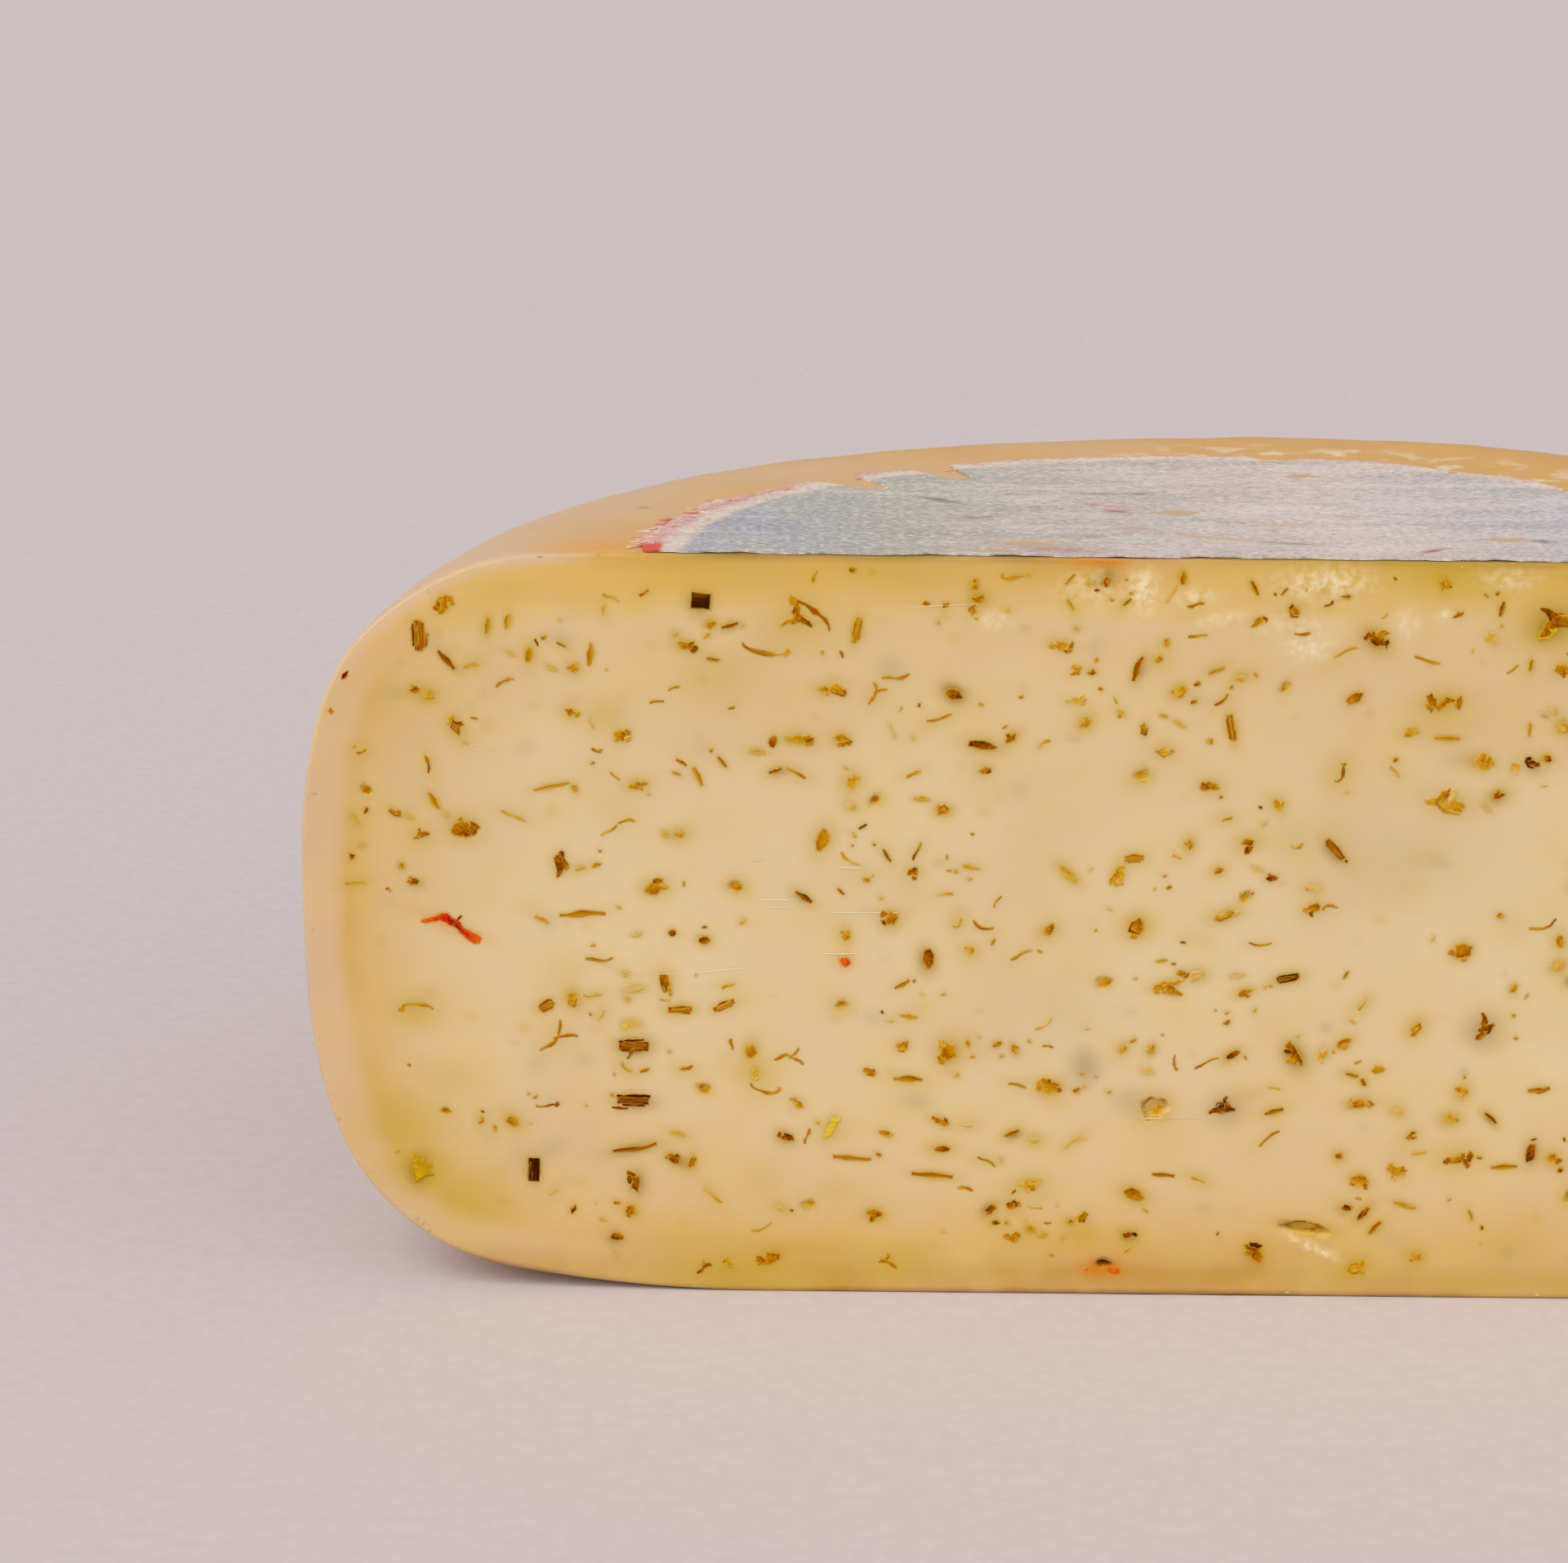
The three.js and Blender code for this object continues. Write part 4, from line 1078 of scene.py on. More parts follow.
tree.links.new(colour, shader.inputs["Base Color"])
dented = add_node(tree, "Bump", inputs={"Height": dents, "Strength": 0.6, "Distance": DENT_DEPTH * MM})
skin = add_node(tree, "Bump", inputs={
    "Height": pores, "Strength": 0.5, "Distance": PORE_DEPTH * MM, "Normal": dented.outputs["Normal"],
})
tree.links.new(skin.outputs["Normal"], shader.inputs["Normal"])
gloss = add_node(tree, "MapRange", inputs={"Value": cloud, "To Min": 0.34, "To Max": 0.5}).outputs["Result"]
tree.links.new(gloss, shader.inputs["Roughness"])

for finish in (rind, paste):
    cheese_body.data.materials.append(finish)
print("Rind clouds are about", RIND_CLOUD, "mm wide, flecks", FLECK_SPACING, "mm apart")

# %% [markdown]
# ## Herb flakes
# A cut herb is a thin inlay under a film of fat. The paste is translucent and lies over its rim, so the
# rim is soft and amber, and only some corners are crisp. Each flake starts as one flat face, a little
# larger than the herb, which is extruded into the paste and inset at its front. The outer rim lies flush
# with the cut and takes the paste's own colour. The middle stands a hair proud, and the colour fades from
# one to the other.

# %% Simple lines for the outlines
# A line is a list of corners in mm about the piece's middle, with the half width of the piece there


def strip(points, half_widths):
    """A strip along a line of points, as corners that run once round it."""
    left, right = [], []
    for i, (u, v) in enumerate(points):
        before, after = points[max(i - 1, 0)], points[min(i + 1, len(points) - 1)]
        way = Vector((after[0] - before[0], after[1] - before[1])).normalized()
        left.append((u - way.y * half_widths[i], v + way.x * half_widths[i]))
        right.append((u + way.y * half_widths[i], v - way.x * half_widths[i]))
    return right + left[::-1], max(half_widths)


def scrap(long, wide, count, least=0.55):
    """A torn scrap with straight sides and corners at uneven distances, as crumbled leaf breaks."""
    turns = [2 * math.pi * (i + draw.uniform(-0.3, 0.3)) / count for i in range(count)]
    reaches = [draw.uniform(least, 1.1) for _ in turns]
    return [(r * math.cos(t) * long / 2, r * math.sin(t) * wide / 2) for r, t in zip(reaches, turns)], wide / 2


def torn(line, amount=0.22):
    """The same line with one more corner on every side, pushed in or out as torn edges are."""
    corners, *rest = line
    made = []
    for i, corner in enumerate(corners):
        start = Vector(corner)
        side = Vector(corners[(i + 1) % len(corners)]) - start
        push = draw.uniform(-amount, amount) * Vector((side.y, -side.x))
        made += [corner, tuple(start + draw.uniform(0.35, 0.65) * side + push)]
    return made, *rest


def wisp(long, wide, bend):
    """A thin stalk that tapers to its ends and bends once or twice."""
    stations = [i / 3 - 1 for i in range(7)]
    points = [(s * long / 2, bend * (math.cos(1.5 * s) + 0.5 * math.sin(3 * s))) for s in stations]
    return strip(points, [max(wide / 2 * (1 - 0.6 * abs(s)) * draw.uniform(0.7, 1.2), 0.05) for s in stations])


def moved(line, across, up, tilt):
    """The same corners, turned and moved beside the piece's middle."""
    corners, *rest = line
    turn = Matrix.Rotation(math.radians(tilt), 2)
    return [tuple(turn @ Vector(corner) + Vector((across, up))) for corner in corners], *rest


def toned(line, by):
    """The same line, lighter or darker than the rest of its piece."""
    return *line[:2], by


def grown(corners, by):
    """The same closed line, moved outwards all round."""
    outer = []
    for i, corner in enumerate(corners):
        way = (Vector(corners[(i + 1) % len(corners)]) - Vector(corners[i - 1])).normalized()
        outer.append(Vector(corner) + by * Vector((way.y, -way.x)))
    return outer


print("A scrap of leaf has corners such as", [round(u, 2) for u in scrap(2, 1, 6)[0][0]])

# %% Outlines by kind
LOBE_TONES = (-0.14, -0.06, 0.08, 0.16)
ROLLED_TONE = -0.1
ROLLED_SHARE = 0.25
# Strands of a stem: level in its width, and how much lighter each is
THIN_STRANDS = [(-0.4, -0.12), (0.02, 0.12)]
THICK_STRANDS = [(-0.38, -0.04), (0.0, 0.16), (0.36, -0.06), (0.2, 0.2)]
THICK_STEM = 1.5


def leaf_lines(long, wide):
    """A scrap of torn leaf. A larger one has lobes of other tones, and some have a dark rolled edge."""
    main = scrap(long, wide, draw.randint(4, 7), least=0.65)
    lines = [torn(main, 0.14)]
    for i in range((long > 1.5) + (long > 2.3) + (long > 3)):
        turn, size = draw.uniform(0, 2 * math.pi), draw.uniform(0.35, 0.65)
        lobe = torn(scrap(size * long, size * max(wide, 0.55 * long), 5), 0.14)
        across, up = 0.42 * long * math.cos(turn), 0.44 * wide * math.sin(turn)
        lines.append(toned(moved(lobe, across, up, draw.uniform(0, 180)), draw.choice(LOBE_TONES)))
    if long > 1.3 and draw.random() < ROLLED_SHARE:
        first = draw.randrange(len(main[0]))
        edge = [main[0][(first + i) % len(main[0])] for i in range(4)]
        lines.append(toned(strip(edge, [0.03, 0.06 * wide, 0.08 * wide, 0.03]), ROLLED_TONE))
    return lines


def seed_lines(long, wide):
    """A rounded grain that is cut through."""
    return [scrap(long, wide, 9, least=0.75)]


def star_lines(long, wide):
    """A node of the stem with three stalks."""
    lines = [torn(scrap(0.6 * long, 0.5 * wide, 6))]
    for tilt in (draw.uniform(60, 115), draw.uniform(180, 220), draw.uniform(-50, 10)):
        reach = draw.uniform(0.32, 0.55) * long
        arm = [(0, 0), (0.4 * reach, draw.uniform(-0.1, 0.1) * reach), (reach, draw.uniform(-0.2, 0.2) * reach)]
        widths = [draw.uniform(0.12, 0.2) * wide, draw.uniform(0.08, 0.16) * wide, 0.04 * wide]
        lines.append(toned(moved(torn(strip(arm, widths)), 0, 0, tilt), draw.uniform(-0.1, 0.2)))
    return lines


def bar(long, wide, level, tilt):
    """A piece of stem with broken ends and uneven sides."""
    ends = draw.uniform(-0.54, -0.44), -0.15, 0.2, draw.uniform(0.44, 0.54)
    points = [(end * long, draw.uniform(-0.06, 0.06) * wide) for end in ends]
    widths = [wide / 2 * part * draw.uniform(0.8, 1.1) for part in (0.7, 1, 1, 0.7)]
    return moved(torn(strip(points, widths), 0.1), 0, level, tilt)


def stem_lines(long, wide):
    """A stem cut lengthwise: a thread, a bar with a dark side or, if thick, a bar of several strands."""
    if wide < 0.9:
        return [wisp(long, wide, draw.uniform(-0.07, 0.07) * long)]
    lines = [bar(long, wide, 0, 0)]
    for level, lighter in THIN_STRANDS if wide < THICK_STEM else THICK_STRANDS:
        strand_long, strand_wide = long * draw.uniform(0.6, 0.95), wide * draw.uniform(0.14, 0.24)
        strand = bar(strand_long, strand_wide, level * wide, draw.gauss(0, 3))
        lines.append(toned(strand, lighter))
    if wide > THICK_STEM:
        splinter = wisp(0.45 * long, 0.3, draw.uniform(-0.2, 0.2))
        lines.append(moved(splinter, draw.uniform(-0.4, 0.4) * long, -0.65 * wide, draw.gauss(0, 25)))
    return lines


def block_lines(long, wide):
    """A thick piece of stalk that the knife met square."""
    points = [(part * long, 0) for part in (-0.5, -0.15, 0.2, 0.5)]
    body = strip(points, [wide / 2 * draw.uniform(0.9, 1.08) for _ in points])
    return [body, toned(bar(0.8 * long, 0.2 * wide, 0.3 * wide, 0), 0.12)]


def curl_lines(long, wide):
    """The rolled edge of a leaf, as a thin arc of uneven thickness. A large one has a scrap at its end."""
    start, sweep = draw.uniform(2.9, 3.5), draw.uniform(1.6, 2.8)
    turns = [start + sweep * i / 8 for i in range(9)]
    sway = draw.uniform(0, 2 * math.pi)
    reaches = [0.5 * (1 + 0.16 * math.sin(2.6 * t + sway)) for t in turns]
    points = [(r * math.cos(t) * long, (r * math.sin(t) + 0.25) * wide) for r, t in zip(reaches, turns)]
    thick = 0.05 * wide + 0.08
    lines = [strip(points, [thick * draw.uniform(0.3, 1.4) * (1.2 - abs(i - 5) / 5) for i in range(9)])]
    if long > 2.5:
        end = torn(scrap(0.28 * long, 0.16 * long, 5))
        lines.append(toned(moved(end, *points[-1], draw.uniform(0, 180)), 0.1))
    return lines


def thread_lines(long, wide):
    """A thin bent thread of stem, with a thicker knot in it."""
    first, last = draw.gauss(0, 0.5), draw.gauss(0, 0.8)
    parts = (-0.5, -0.25, 0.0, 0.25, 0.5)
    points = [(part * long, part**2 * (first if part < 0 else last) * long) for part in parts]
    return [strip(points, [wide * part * draw.uniform(0.3, 0.9) for part in (0.4, 1, 0.8, 1.2, 0.3)])]


def fork_lines(long, wide):
    """A thin stalk that branches, with a scrap of leaf at the fork."""
    lines = [moved(wisp(0.62 * long, 0.42, draw.uniform(-0.1, 0.1) * long), -0.2 * long, 0, 0)]
    for side in (-1, 1):
        arm = wisp(draw.uniform(0.4, 0.75) * wide, 0.36, draw.uniform(-0.2, 0.2))
        lines.append(moved(arm, 0.3 * long, 0.2 * side * wide, side * draw.uniform(35, 65)))
    lines.append(moved(torn(scrap(0.2 * long, 0.14 * long, 5)), 0.08 * long, 0, draw.uniform(0, 180)))
    return lines


def chilli_strip_lines(long, wide):
    """A twisted strip of chilli skin, thick in two places."""
    stations = [-0.93, -0.58, -0.24, 0.02, 0.29, 0.6, 0.93]
    rises = [-0.9, -0.1, 0.6, 0.38, -0.1, -0.38, -0.42]
    thick = [0.13, 0.28, 0.58, 0.46, 0.35, 0.52, 0.35]
    points = [(s * long / 2, rise * wide) for s, rise in zip(stations, rises)]
    body = torn(strip(points, [t * wide for t in thick]), 0.16)
    core = toned(strip(points[2:6], [0.1 * wide, 0.22 * wide, 0.16 * wide, 0.08 * wide]), -0.1)
    return [body, core, moved(wisp(0.2 * long, 0.2, 0.1), 0.04 * long, 0.75 * wide, 75)]


def smear_lines(long, wide):
    """A thread of paste that the knife drew out, painted pale as a highlight."""
    bend = draw.uniform(-0.012, 0.012) * long
    points = [(-long / 2, 0), (-long / 6, bend), (long / 6, 1.2 * bend), (long / 2, 0)]
    return [strip(points, [0.4 * wide, wide, wide, 0.4 * wide])]


OUTLINES = {
    "leaf": leaf_lines, "petal": leaf_lines, "seed": seed_lines, "star": star_lines, "stem": stem_lines,
    "curl": curl_lines, "fork": fork_lines, "thread": thread_lines, "block": block_lines,
    "strip": chilli_strip_lines, "smear": smear_lines,
}
print("Kinds of outline:", ", ".join(OUTLINES))

# %% Make all flakes of one sort
FLAKE_SUNK = 0.35
FLAKE_PROUD = 0.05
RIM_PROUD = 0.006
RIM_INSIDE = 0.25
RIM_STEP = 0.02
LOBE_LIFT = 0.03
TONE_CHANGE = 0.13
NOISE_SPREAD = 300
# The strip of chilli is lighter towards its ends
STRIP_CHANGE = 4


def add_backs(bm, row, rim, tones, edges, alongs, asides):
    """The flat back faces of one piece, each with its half width. Their corners hold what the material reads."""
    kind, across, up, long, wide, tilt, tone = row
    turn = Matrix.Rotation(math.radians(tilt), 2)
    made = []
    for corners, half_width, *lighter in OUTLINES[kind](long, wide):
        own_place = draw.uniform(0, NOISE_SPREAD)
        lighter_way = -math.pi / 2 if kind == "stem" else draw.uniform(0, 2 * math.pi)
        verts = []
        for u, v in grown(corners, rim):
            x, z = turn @ Vector((u, v))
            vert = bm.verts.new((across + x, FLAKE_SUNK, up + z))
            change = math.cos(math.atan2(v, u) - lighter_way) + draw.uniform(-0.4, 0.4)
            if kind == "strip":
                change = STRIP_CHANGE * (2 * abs(u) / long - 0.5)
            vert[tones], vert[edges] = tone + sum(lighter) + TONE_CHANGE * change, 1
            vert[alongs], vert[asides] = u + own_place, v
            verts.append(vert)
        made.append((bm.faces.new(verts), half_width))
    return made


def make_flakes(rows, rim):
    """A bmesh of closed flakes set into the cut: a sunk back, a rim that lies flush and a raised front."""
    bm = bmesh.new()
    layers = [bm.verts.layers.float.new(name) for name in ("tone", "edge", "along", "aside")]
    half_widths = bm.faces.layers.float.new("half_width")
    lifts = bm.faces.layers.float.new("lift")
    backs = []
    for row in rows:
        for i, (face, half_width) in enumerate(add_backs(bm, row, rim, *layers)):
            face[half_widths], face[lifts] = half_width, i * LOBE_LIFT
            backs.append(face)
    made = bmesh.ops.extrude_face_region(bm, geom=backs, use_keep_orig=True)["geom"]
    fronts = [item for item in made if isinstance(item, bmesh.types.BMFace)]
    by_width = {}
    for front in fronts:
        for vert in front.verts:
            vert.co.y = -RIM_PROUD
        width = rim + RIM_INSIDE * front[half_widths]
        by_width.setdefault(round(width / RIM_STEP) * RIM_STEP, []).append(front)
    for width, faces in by_width.items():
        bmesh.ops.inset_individual(bm, faces=faces, thickness=width, use_even_offset=False)
    for front in fronts:
        for vert in front.verts:
            vert.co.y = -FLAKE_PROUD * draw.uniform(0.4, 1.5) - front[lifts]
            vert[layers[1]] = 0
    bmesh.ops.recalc_face_normals(bm, faces=bm.faces)
    spots = np.array([vert.co for vert in bm.verts])
    for vert, depth in zip(bm.verts, cut_relief(spots[:, 0], spots[:, 2])):
        vert.co.y += depth
    return bm


sorts = {
    "herb_leaves": ("leaf", "star"),
    "herb_stems": ("stem", "block", "curl", "fork", "thread"),
    "herb_seeds": ("seed",),
    "yellow_petals": ("petal",),
}
herb_rows = {name: [row for row in herbs if row[0] in kinds] for name, kinds in sorts.items()}
print({name: len(rows) for name, rows in herb_rows.items()})

# %% [markdown]
# Dried herbs go from nearly black through amber to yellow where the paste's fat has bleached them, and
# those that lie under a film of paste are pale ochre. The tone stored in each flake picks the colour, a
# fine noise makes it patchy, and a stem gets stripes along its grain. Pale flakes bleed less amber into
# the paste than dark ones. Chilli keeps its red. The threads that the knife drew out are painted pale,
# as highlights along the knife's streaks.

# %% Herb, chilli and smear finishes
HERB_TONES = [
    (0.0, "#381602"), (0.12, "#5a2602"), (0.25, "#864300"), (0.4, "#a76200"), (0.55, "#bb7f04"),
    (0.7, "#c89512"), (0.85, "#cfa53e"), (1.0, "#d4b06a"),
]
YELLOW_TONES = [(0.0, "#ba900a"), (0.5, "#d8b418"), (1.0, "#e0c648")]
CHILLI_TONES = [(0.0, "#5b0501"), (0.25, "#cf2206"), (0.5, "#d9520c"), (0.8, "#d9801c"), (1.0, "#dd9a48")]
# Pale tones that paint the threads as highlights along the knife's streaks
SMEAR_HIGHLIGHT_TONES = [(0.0, "#dcc497"), (0.6, "#dfc89b"), (1.0, "#ead8b2")]
PATCH_SIZE = 0.6
GRAIN_WIDTH = 0.3
GRAIN_LENGTH = 4


def flake_finish(name, tones, pattern_scale, grain, bleed):
    """Plant matter under paste: a tone per flake, patches or stripes, and a rim that bleeds into the paste."""
    finish, tree, shader, place = start_finish(name, IOR=1.46, Specular_IOR_Level=0.02)
    tone, edge, along, aside = [
        add_node(tree, "Attribute", {"attribute_name": number}).outputs["Fac"]
        for number in ("tone", "edge", "along", "aside")
    ]
    own_place = add_node(tree, "CombineXYZ", inputs={"X": along, "Y": aside}).outputs["Vector"]
    stretched = add_node(tree, "Mapping", inputs={"Vector": own_place, "Scale": pattern_scale})
    patches = add_node(tree, "TexNoise", inputs={
        "Vector": stretched.outputs["Vector"], "Scale": 1.0, "Detail": 2.0,
    }).outputs["Fac"]
    shift = add_node(tree, "MapRange", inputs={
        "Value": patches, "From Min": 0.25, "From Max": 0.75, "To Min": -grain, "To Max": grain,
    }).outputs["Result"]
    patchy = add_node(tree, "Math", {"operation": "ADD"}, {0: tone, 1: shift}).outputs["Value"]
    colour = add_node(tree, "ValToRGB", inputs={"Fac": patchy}, stops=tones).outputs["Color"]
    ragged = add_node(tree, "Math", {"operation": "MULTIPLY_ADD"}, {0: patches, 1: 0.5, 2: edge})
    cover = add_node(tree, "MapRange", inputs={
        "Value": ragged.outputs["Value"], "From Min": 0.4, "From Max": 1.0, "To Min": 1.0, "To Max": 0.0,
    }).outputs["Result"]
    around, crumbled = paste_colour(tree, place)
    bled = add_node(tree, "MapRange", inputs={
        "Value": tone, "From Min": 0.4, "From Max": 0.85, "To Min": bleed, "To Max": 0.15 * bleed,
    }).outputs["Result"]
    layer = {FACTOR: bled, COLOUR_A: around, COLOUR_B: linear(HALO_COLOUR)}
    around = add_node(tree, "Mix", {"data_type": "RGBA"}, layer).outputs[MIXED]
    layer = {FACTOR: cover, COLOUR_A: around, COLOUR_B: colour}
    colour = add_node(tree, "Mix", {"data_type": "RGBA"}, layer).outputs[MIXED]
    tree.links.new(colour, shader.inputs["Base Color"])
    cut_surface(tree, shader, place, crumbled)
    return finish


patch = (1 / PATCH_SIZE, 1 / PATCH_SIZE, 1.0)
stripes = (1 / GRAIN_LENGTH, 1 / GRAIN_WIDTH, 1.0)
# Each finish: name, tones, pattern, how far the tone changes in it and how much it bleeds
finishes = {
    "herb_leaves": flake_finish("dried herb leaf, cut", HERB_TONES, patch, 0.18, 0.55),
    "herb_stems": flake_finish("dried herb stem, cut", HERB_TONES, stripes, 0.14, 0.55),
    "herb_seeds": flake_finish("dried herb seed, cut", HERB_TONES, patch, 0.16, 0.55),
    "yellow_petals": flake_finish("dried yellow petal, cut", YELLOW_TONES, patch, 0.3, 0.3),
    "chilli_bits": flake_finish("dried chilli, cut", CHILLI_TONES, patch, 0.2, 0.6),
    "knife_smear_highlights": flake_finish("gouda paste, drawn out, painted highlight", SMEAR_HIGHLIGHT_TONES, stripes, 0.3, 0.0),
}
print("Finishes in the cut:", ", ".join(finishes))

# %% Smears and all the flakes
# Threads of paste, painted pale as highlights along the knife's streaks: across, up, length, half width and tilt
SMEARS = [
    (-66.3, 44.8, 16.6, 0.05, 3.8), (-54.5, 54.6, 4, 0.06, 0), (-53.8, 53.6, 3, 0.06, 2),
    (-42.5, 53, 8.5, 0.05, 0), (-44, 59, 4, 0.06, -3), (-45.8, 47.4, 4.3, 0.06, 0),
]
MORE_SMEARS = 4
SOFT_RIM = 0.16
SMEAR_RIM = 0.06

smears = [("smear", across, up, long, wide, tilt, 0.7) for across, up, long, wide, tilt in SMEARS]
while len(smears) < len(SMEARS) + MORE_SMEARS:
    across, up = draw.uniform(-WHEEL_RADIUS, WHEEL_RADIUS), draw.uniform(8, 96)
    long = 1.5 + 10 * draw.random() ** 2
    if inside_rind(across - long / 2, up) and inside_rind(across + long / 2, up):
        wide, tilt, tone = draw.uniform(0.015, 0.04), draw.gauss(1.5, 2), draw.uniform(0, 0.6)
        smears.append(("smear", across, up, long, wide, tilt, tone))
herb_rows["chilli_bits"] = CHILLI
herb_rows["knife_smear_highlights"] = smears
for name, rows in herb_rows.items():
    rim = SMEAR_RIM if name == "knife_smear_highlights" else SOFT_RIM
    store_colours(finish_piece(make_flakes(rows, rim), name, [finishes[name]]))

# %% [markdown]
# ## Crumbs
# Along the knife's edge small crumbs of dry paste cling to the cut. Each is a squashed icosahedron,
# turned and sized by the seeded draw and sunk by half, so that all of them together are one mesh.

# %% Crumbs along the edge
EDGE_CRUMBS = 90
CRUMB_LARGEST = 0.7
CRUMB_SMALLEST = 0.2
CRUMB_CLOUD = 1.25
CRUMB_COLOURS = [(0.3, "#c4a468"), (0.7, "#d2b680")]


def add_crumb(bm, across, up, size):
    """One crumb of dry paste, half sunk in the cut."""
    relief = float(cut_relief(np.array([across]), np.array([up]))[0])
    turn = Matrix.Rotation(draw.uniform(0, math.pi), 4, Vector((draw.random(), draw.random(), draw.random())))
    squash = Matrix.Diagonal((size * draw.uniform(0.6, 1.3), size * 0.45, size * draw.uniform(0.4, 0.8), 1))
    place = Matrix.Translation((across, relief, up)) @ squash @ turn
    bmesh.ops.create_icosphere(bm, subdivisions=1, radius=0.5, matrix=place)


bm = bmesh.new()
for i in range(EDGE_CRUMBS):
    a, b = draw.choice(list(zip(loop, loop[1:])))
    spot = a + (b - a) * draw.random()
    inward = np.array((0, WHEEL_HEIGHT / 2)) - spot
    spot = spot + inward / np.hypot(*inward) * draw.uniform(0.4, 1.3)
    add_crumb(bm, *spot, CRUMB_SMALLEST + (CRUMB_LARGEST - CRUMB_SMALLEST) * draw.random() ** 3)
crumb_finish, tree, shader, place = start_finish(
    "dry gouda crumb", Roughness=0.7, IOR=1.46, Specular_IOR_Level=0.1,
)
pale = add_node(tree, "TexNoise", inputs={
    "Vector": place, "Scale": 1 / CRUMB_CLOUD, "Detail": 2.0,
}).outputs["Fac"]
pale = add_node(tree, "ValToRGB", inputs={"Fac": pale}, stops=CRUMB_COLOURS)
tree.links.new(pale.outputs["Color"], shader.inputs["Base Color"])
finish_piece(bm, "crumbs", [crumb_finish])

# %% [markdown]
# ## The paper label
# Half of a round label is left on the top: thin, felt-like paper that was glued to the coat, rubbed until
# its print became clouds of blue-grey and cream, and torn at its edge. A half spin of a straight line
# gives a round mesh whose rays are then drawn in to the torn outline. Where the paper is worn to its last
# layer it lies deeper, and solidify gives the sheet its thickness.

# %% Torn outline of the label
LABEL_RADIUS = 71
LABEL_SETBACK = 0.2
LABEL_LIFT = 0.07
LABEL_THICKNESS = 0.22
LABEL_WAVES = [(7, 0.5, 0.5), (17, 0.25, 0), (31, 0.15, 1), (53, 0.1, 2), (151, 0.12, 0.7), (233, 0.1, 1.4)]
# Places round the edge where paper came away: angle from +X, half width along the edge and depth
LABEL_BITES = [
    (158, 2.2, 1.6), (133.5, 3.0, 10.5), (120.5, 2.8, 10.0), (78, 3.4, 1.8), (38, 2.6, 1.4),
    (92, 46, 2.2), (46, 20, 2.4),
]
# Places where the paper is worn through: middle across and behind the cut, half length and half width
WORN_THROUGH = [
    (-21.2, 7.8, 3.4, 2), (-25.6, 3, 2.2, 1.2), (17, 54, 2.6, 1.4), (-1.4, 28.5, 2.7, 2),
    (40.5, 12.5, 3.2, 1.5),
]
WORN_DEPTH = 0.14
# The front edge is ragged too: waves per mm along the cut, depth and phase
FRONT_WAVES = [(0.19, 0.35, 0.4), (0.53, 0.3, 1.1), (1.31, 0.2, 2.0), (2.9, 0.12, 0.2)]
FRONT_GAP = 0.25
FRONT_FADE = 5
RIPPLE = 0.025
LABEL_RINGS = 90
LABEL_STEPS = 250


def label_radius(turn):
    """Radius of the label at an angle: a frayed circle with the places where paper came away."""
    radius = LABEL_RADIUS + wave_sum(LABEL_WAVES, turn)
    for at, half_width, depth in LABEL_BITES:
        away = (turn - math.radians(at)) * LABEL_RADIUS / half_width
        radius -= depth * math.exp(-(away**6))
    return radius


def worn_strength(x, y):
    """How far the paper is worn at arrays of places: 0 is whole and 1 is gone."""
    worn = np.zeros(len(x))
    for across, behind, half_long, half_wide in WORN_THROUGH:
        away = np.hypot((x - across) / half_long, (y - behind) / half_wide)
        ragged = 0.3 * np.sin(1.7 * x + y) * np.sin(2.3 * y - across)
        worn = np.maximum(worn, np.clip((1.1 + ragged - away) / 0.25, 0, 1))
    return worn


bm = bmesh.new()
line = [bm.verts.new((i / LABEL_RINGS, 0, 0)) for i in range(LABEL_RINGS + 1)]
line_edges = [bm.edges.new(pair) for pair in zip(line, line[1:])]
bmesh.ops.spin(bm, geom=line + line_edges, cent=(0, 0, 0), axis=(0, 0, 1), angle=math.pi, steps=LABEL_STEPS)
bmesh.ops.remove_doubles(bm, verts=bm.verts, dist=1e-5)
for vert in bm.verts:
    reach = label_radius(math.atan2(vert.co.y, vert.co.x))
    x, y = vert.co.x * reach, vert.co.y * reach
    gap = max(FRONT_GAP + sum(depth * math.sin(waves * x + phase) for waves, depth, phase in FRONT_WAVES), 0)
    y += LABEL_SETBACK + gap * math.exp(-y / FRONT_FADE)
    ripple = RIPPLE * math.sin(0.5 * x + 0.3 * y) + RIPPLE * math.sin(0.9 * y - 0.2 * x)
    sunk = WORN_DEPTH * float(worn_strength(np.array([x]), np.array([y]))[0])
    vert.co = (x, y, settle((x, y, WHEEL_HEIGHT)).z + LABEL_LIFT + ripple - sunk)
bmesh.ops.recalc_face_normals(bm, faces=bm.faces)
if next(iter(bm.faces)).normal.z < 0:
    bmesh.ops.reverse_faces(bm, faces=bm.faces)
bmesh.ops.solidify(bm, geom=bm.faces, thickness=-LABEL_THICKNESS)
bmesh.ops.recalc_face_normals(bm, faces=bm.faces)
print(len(bm.faces), "faces of paper, highest point", round(max(v.co.z for v in bm.verts), 2))

label = finish_piece(bm, "label_sheet", [])
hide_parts("paper_label")

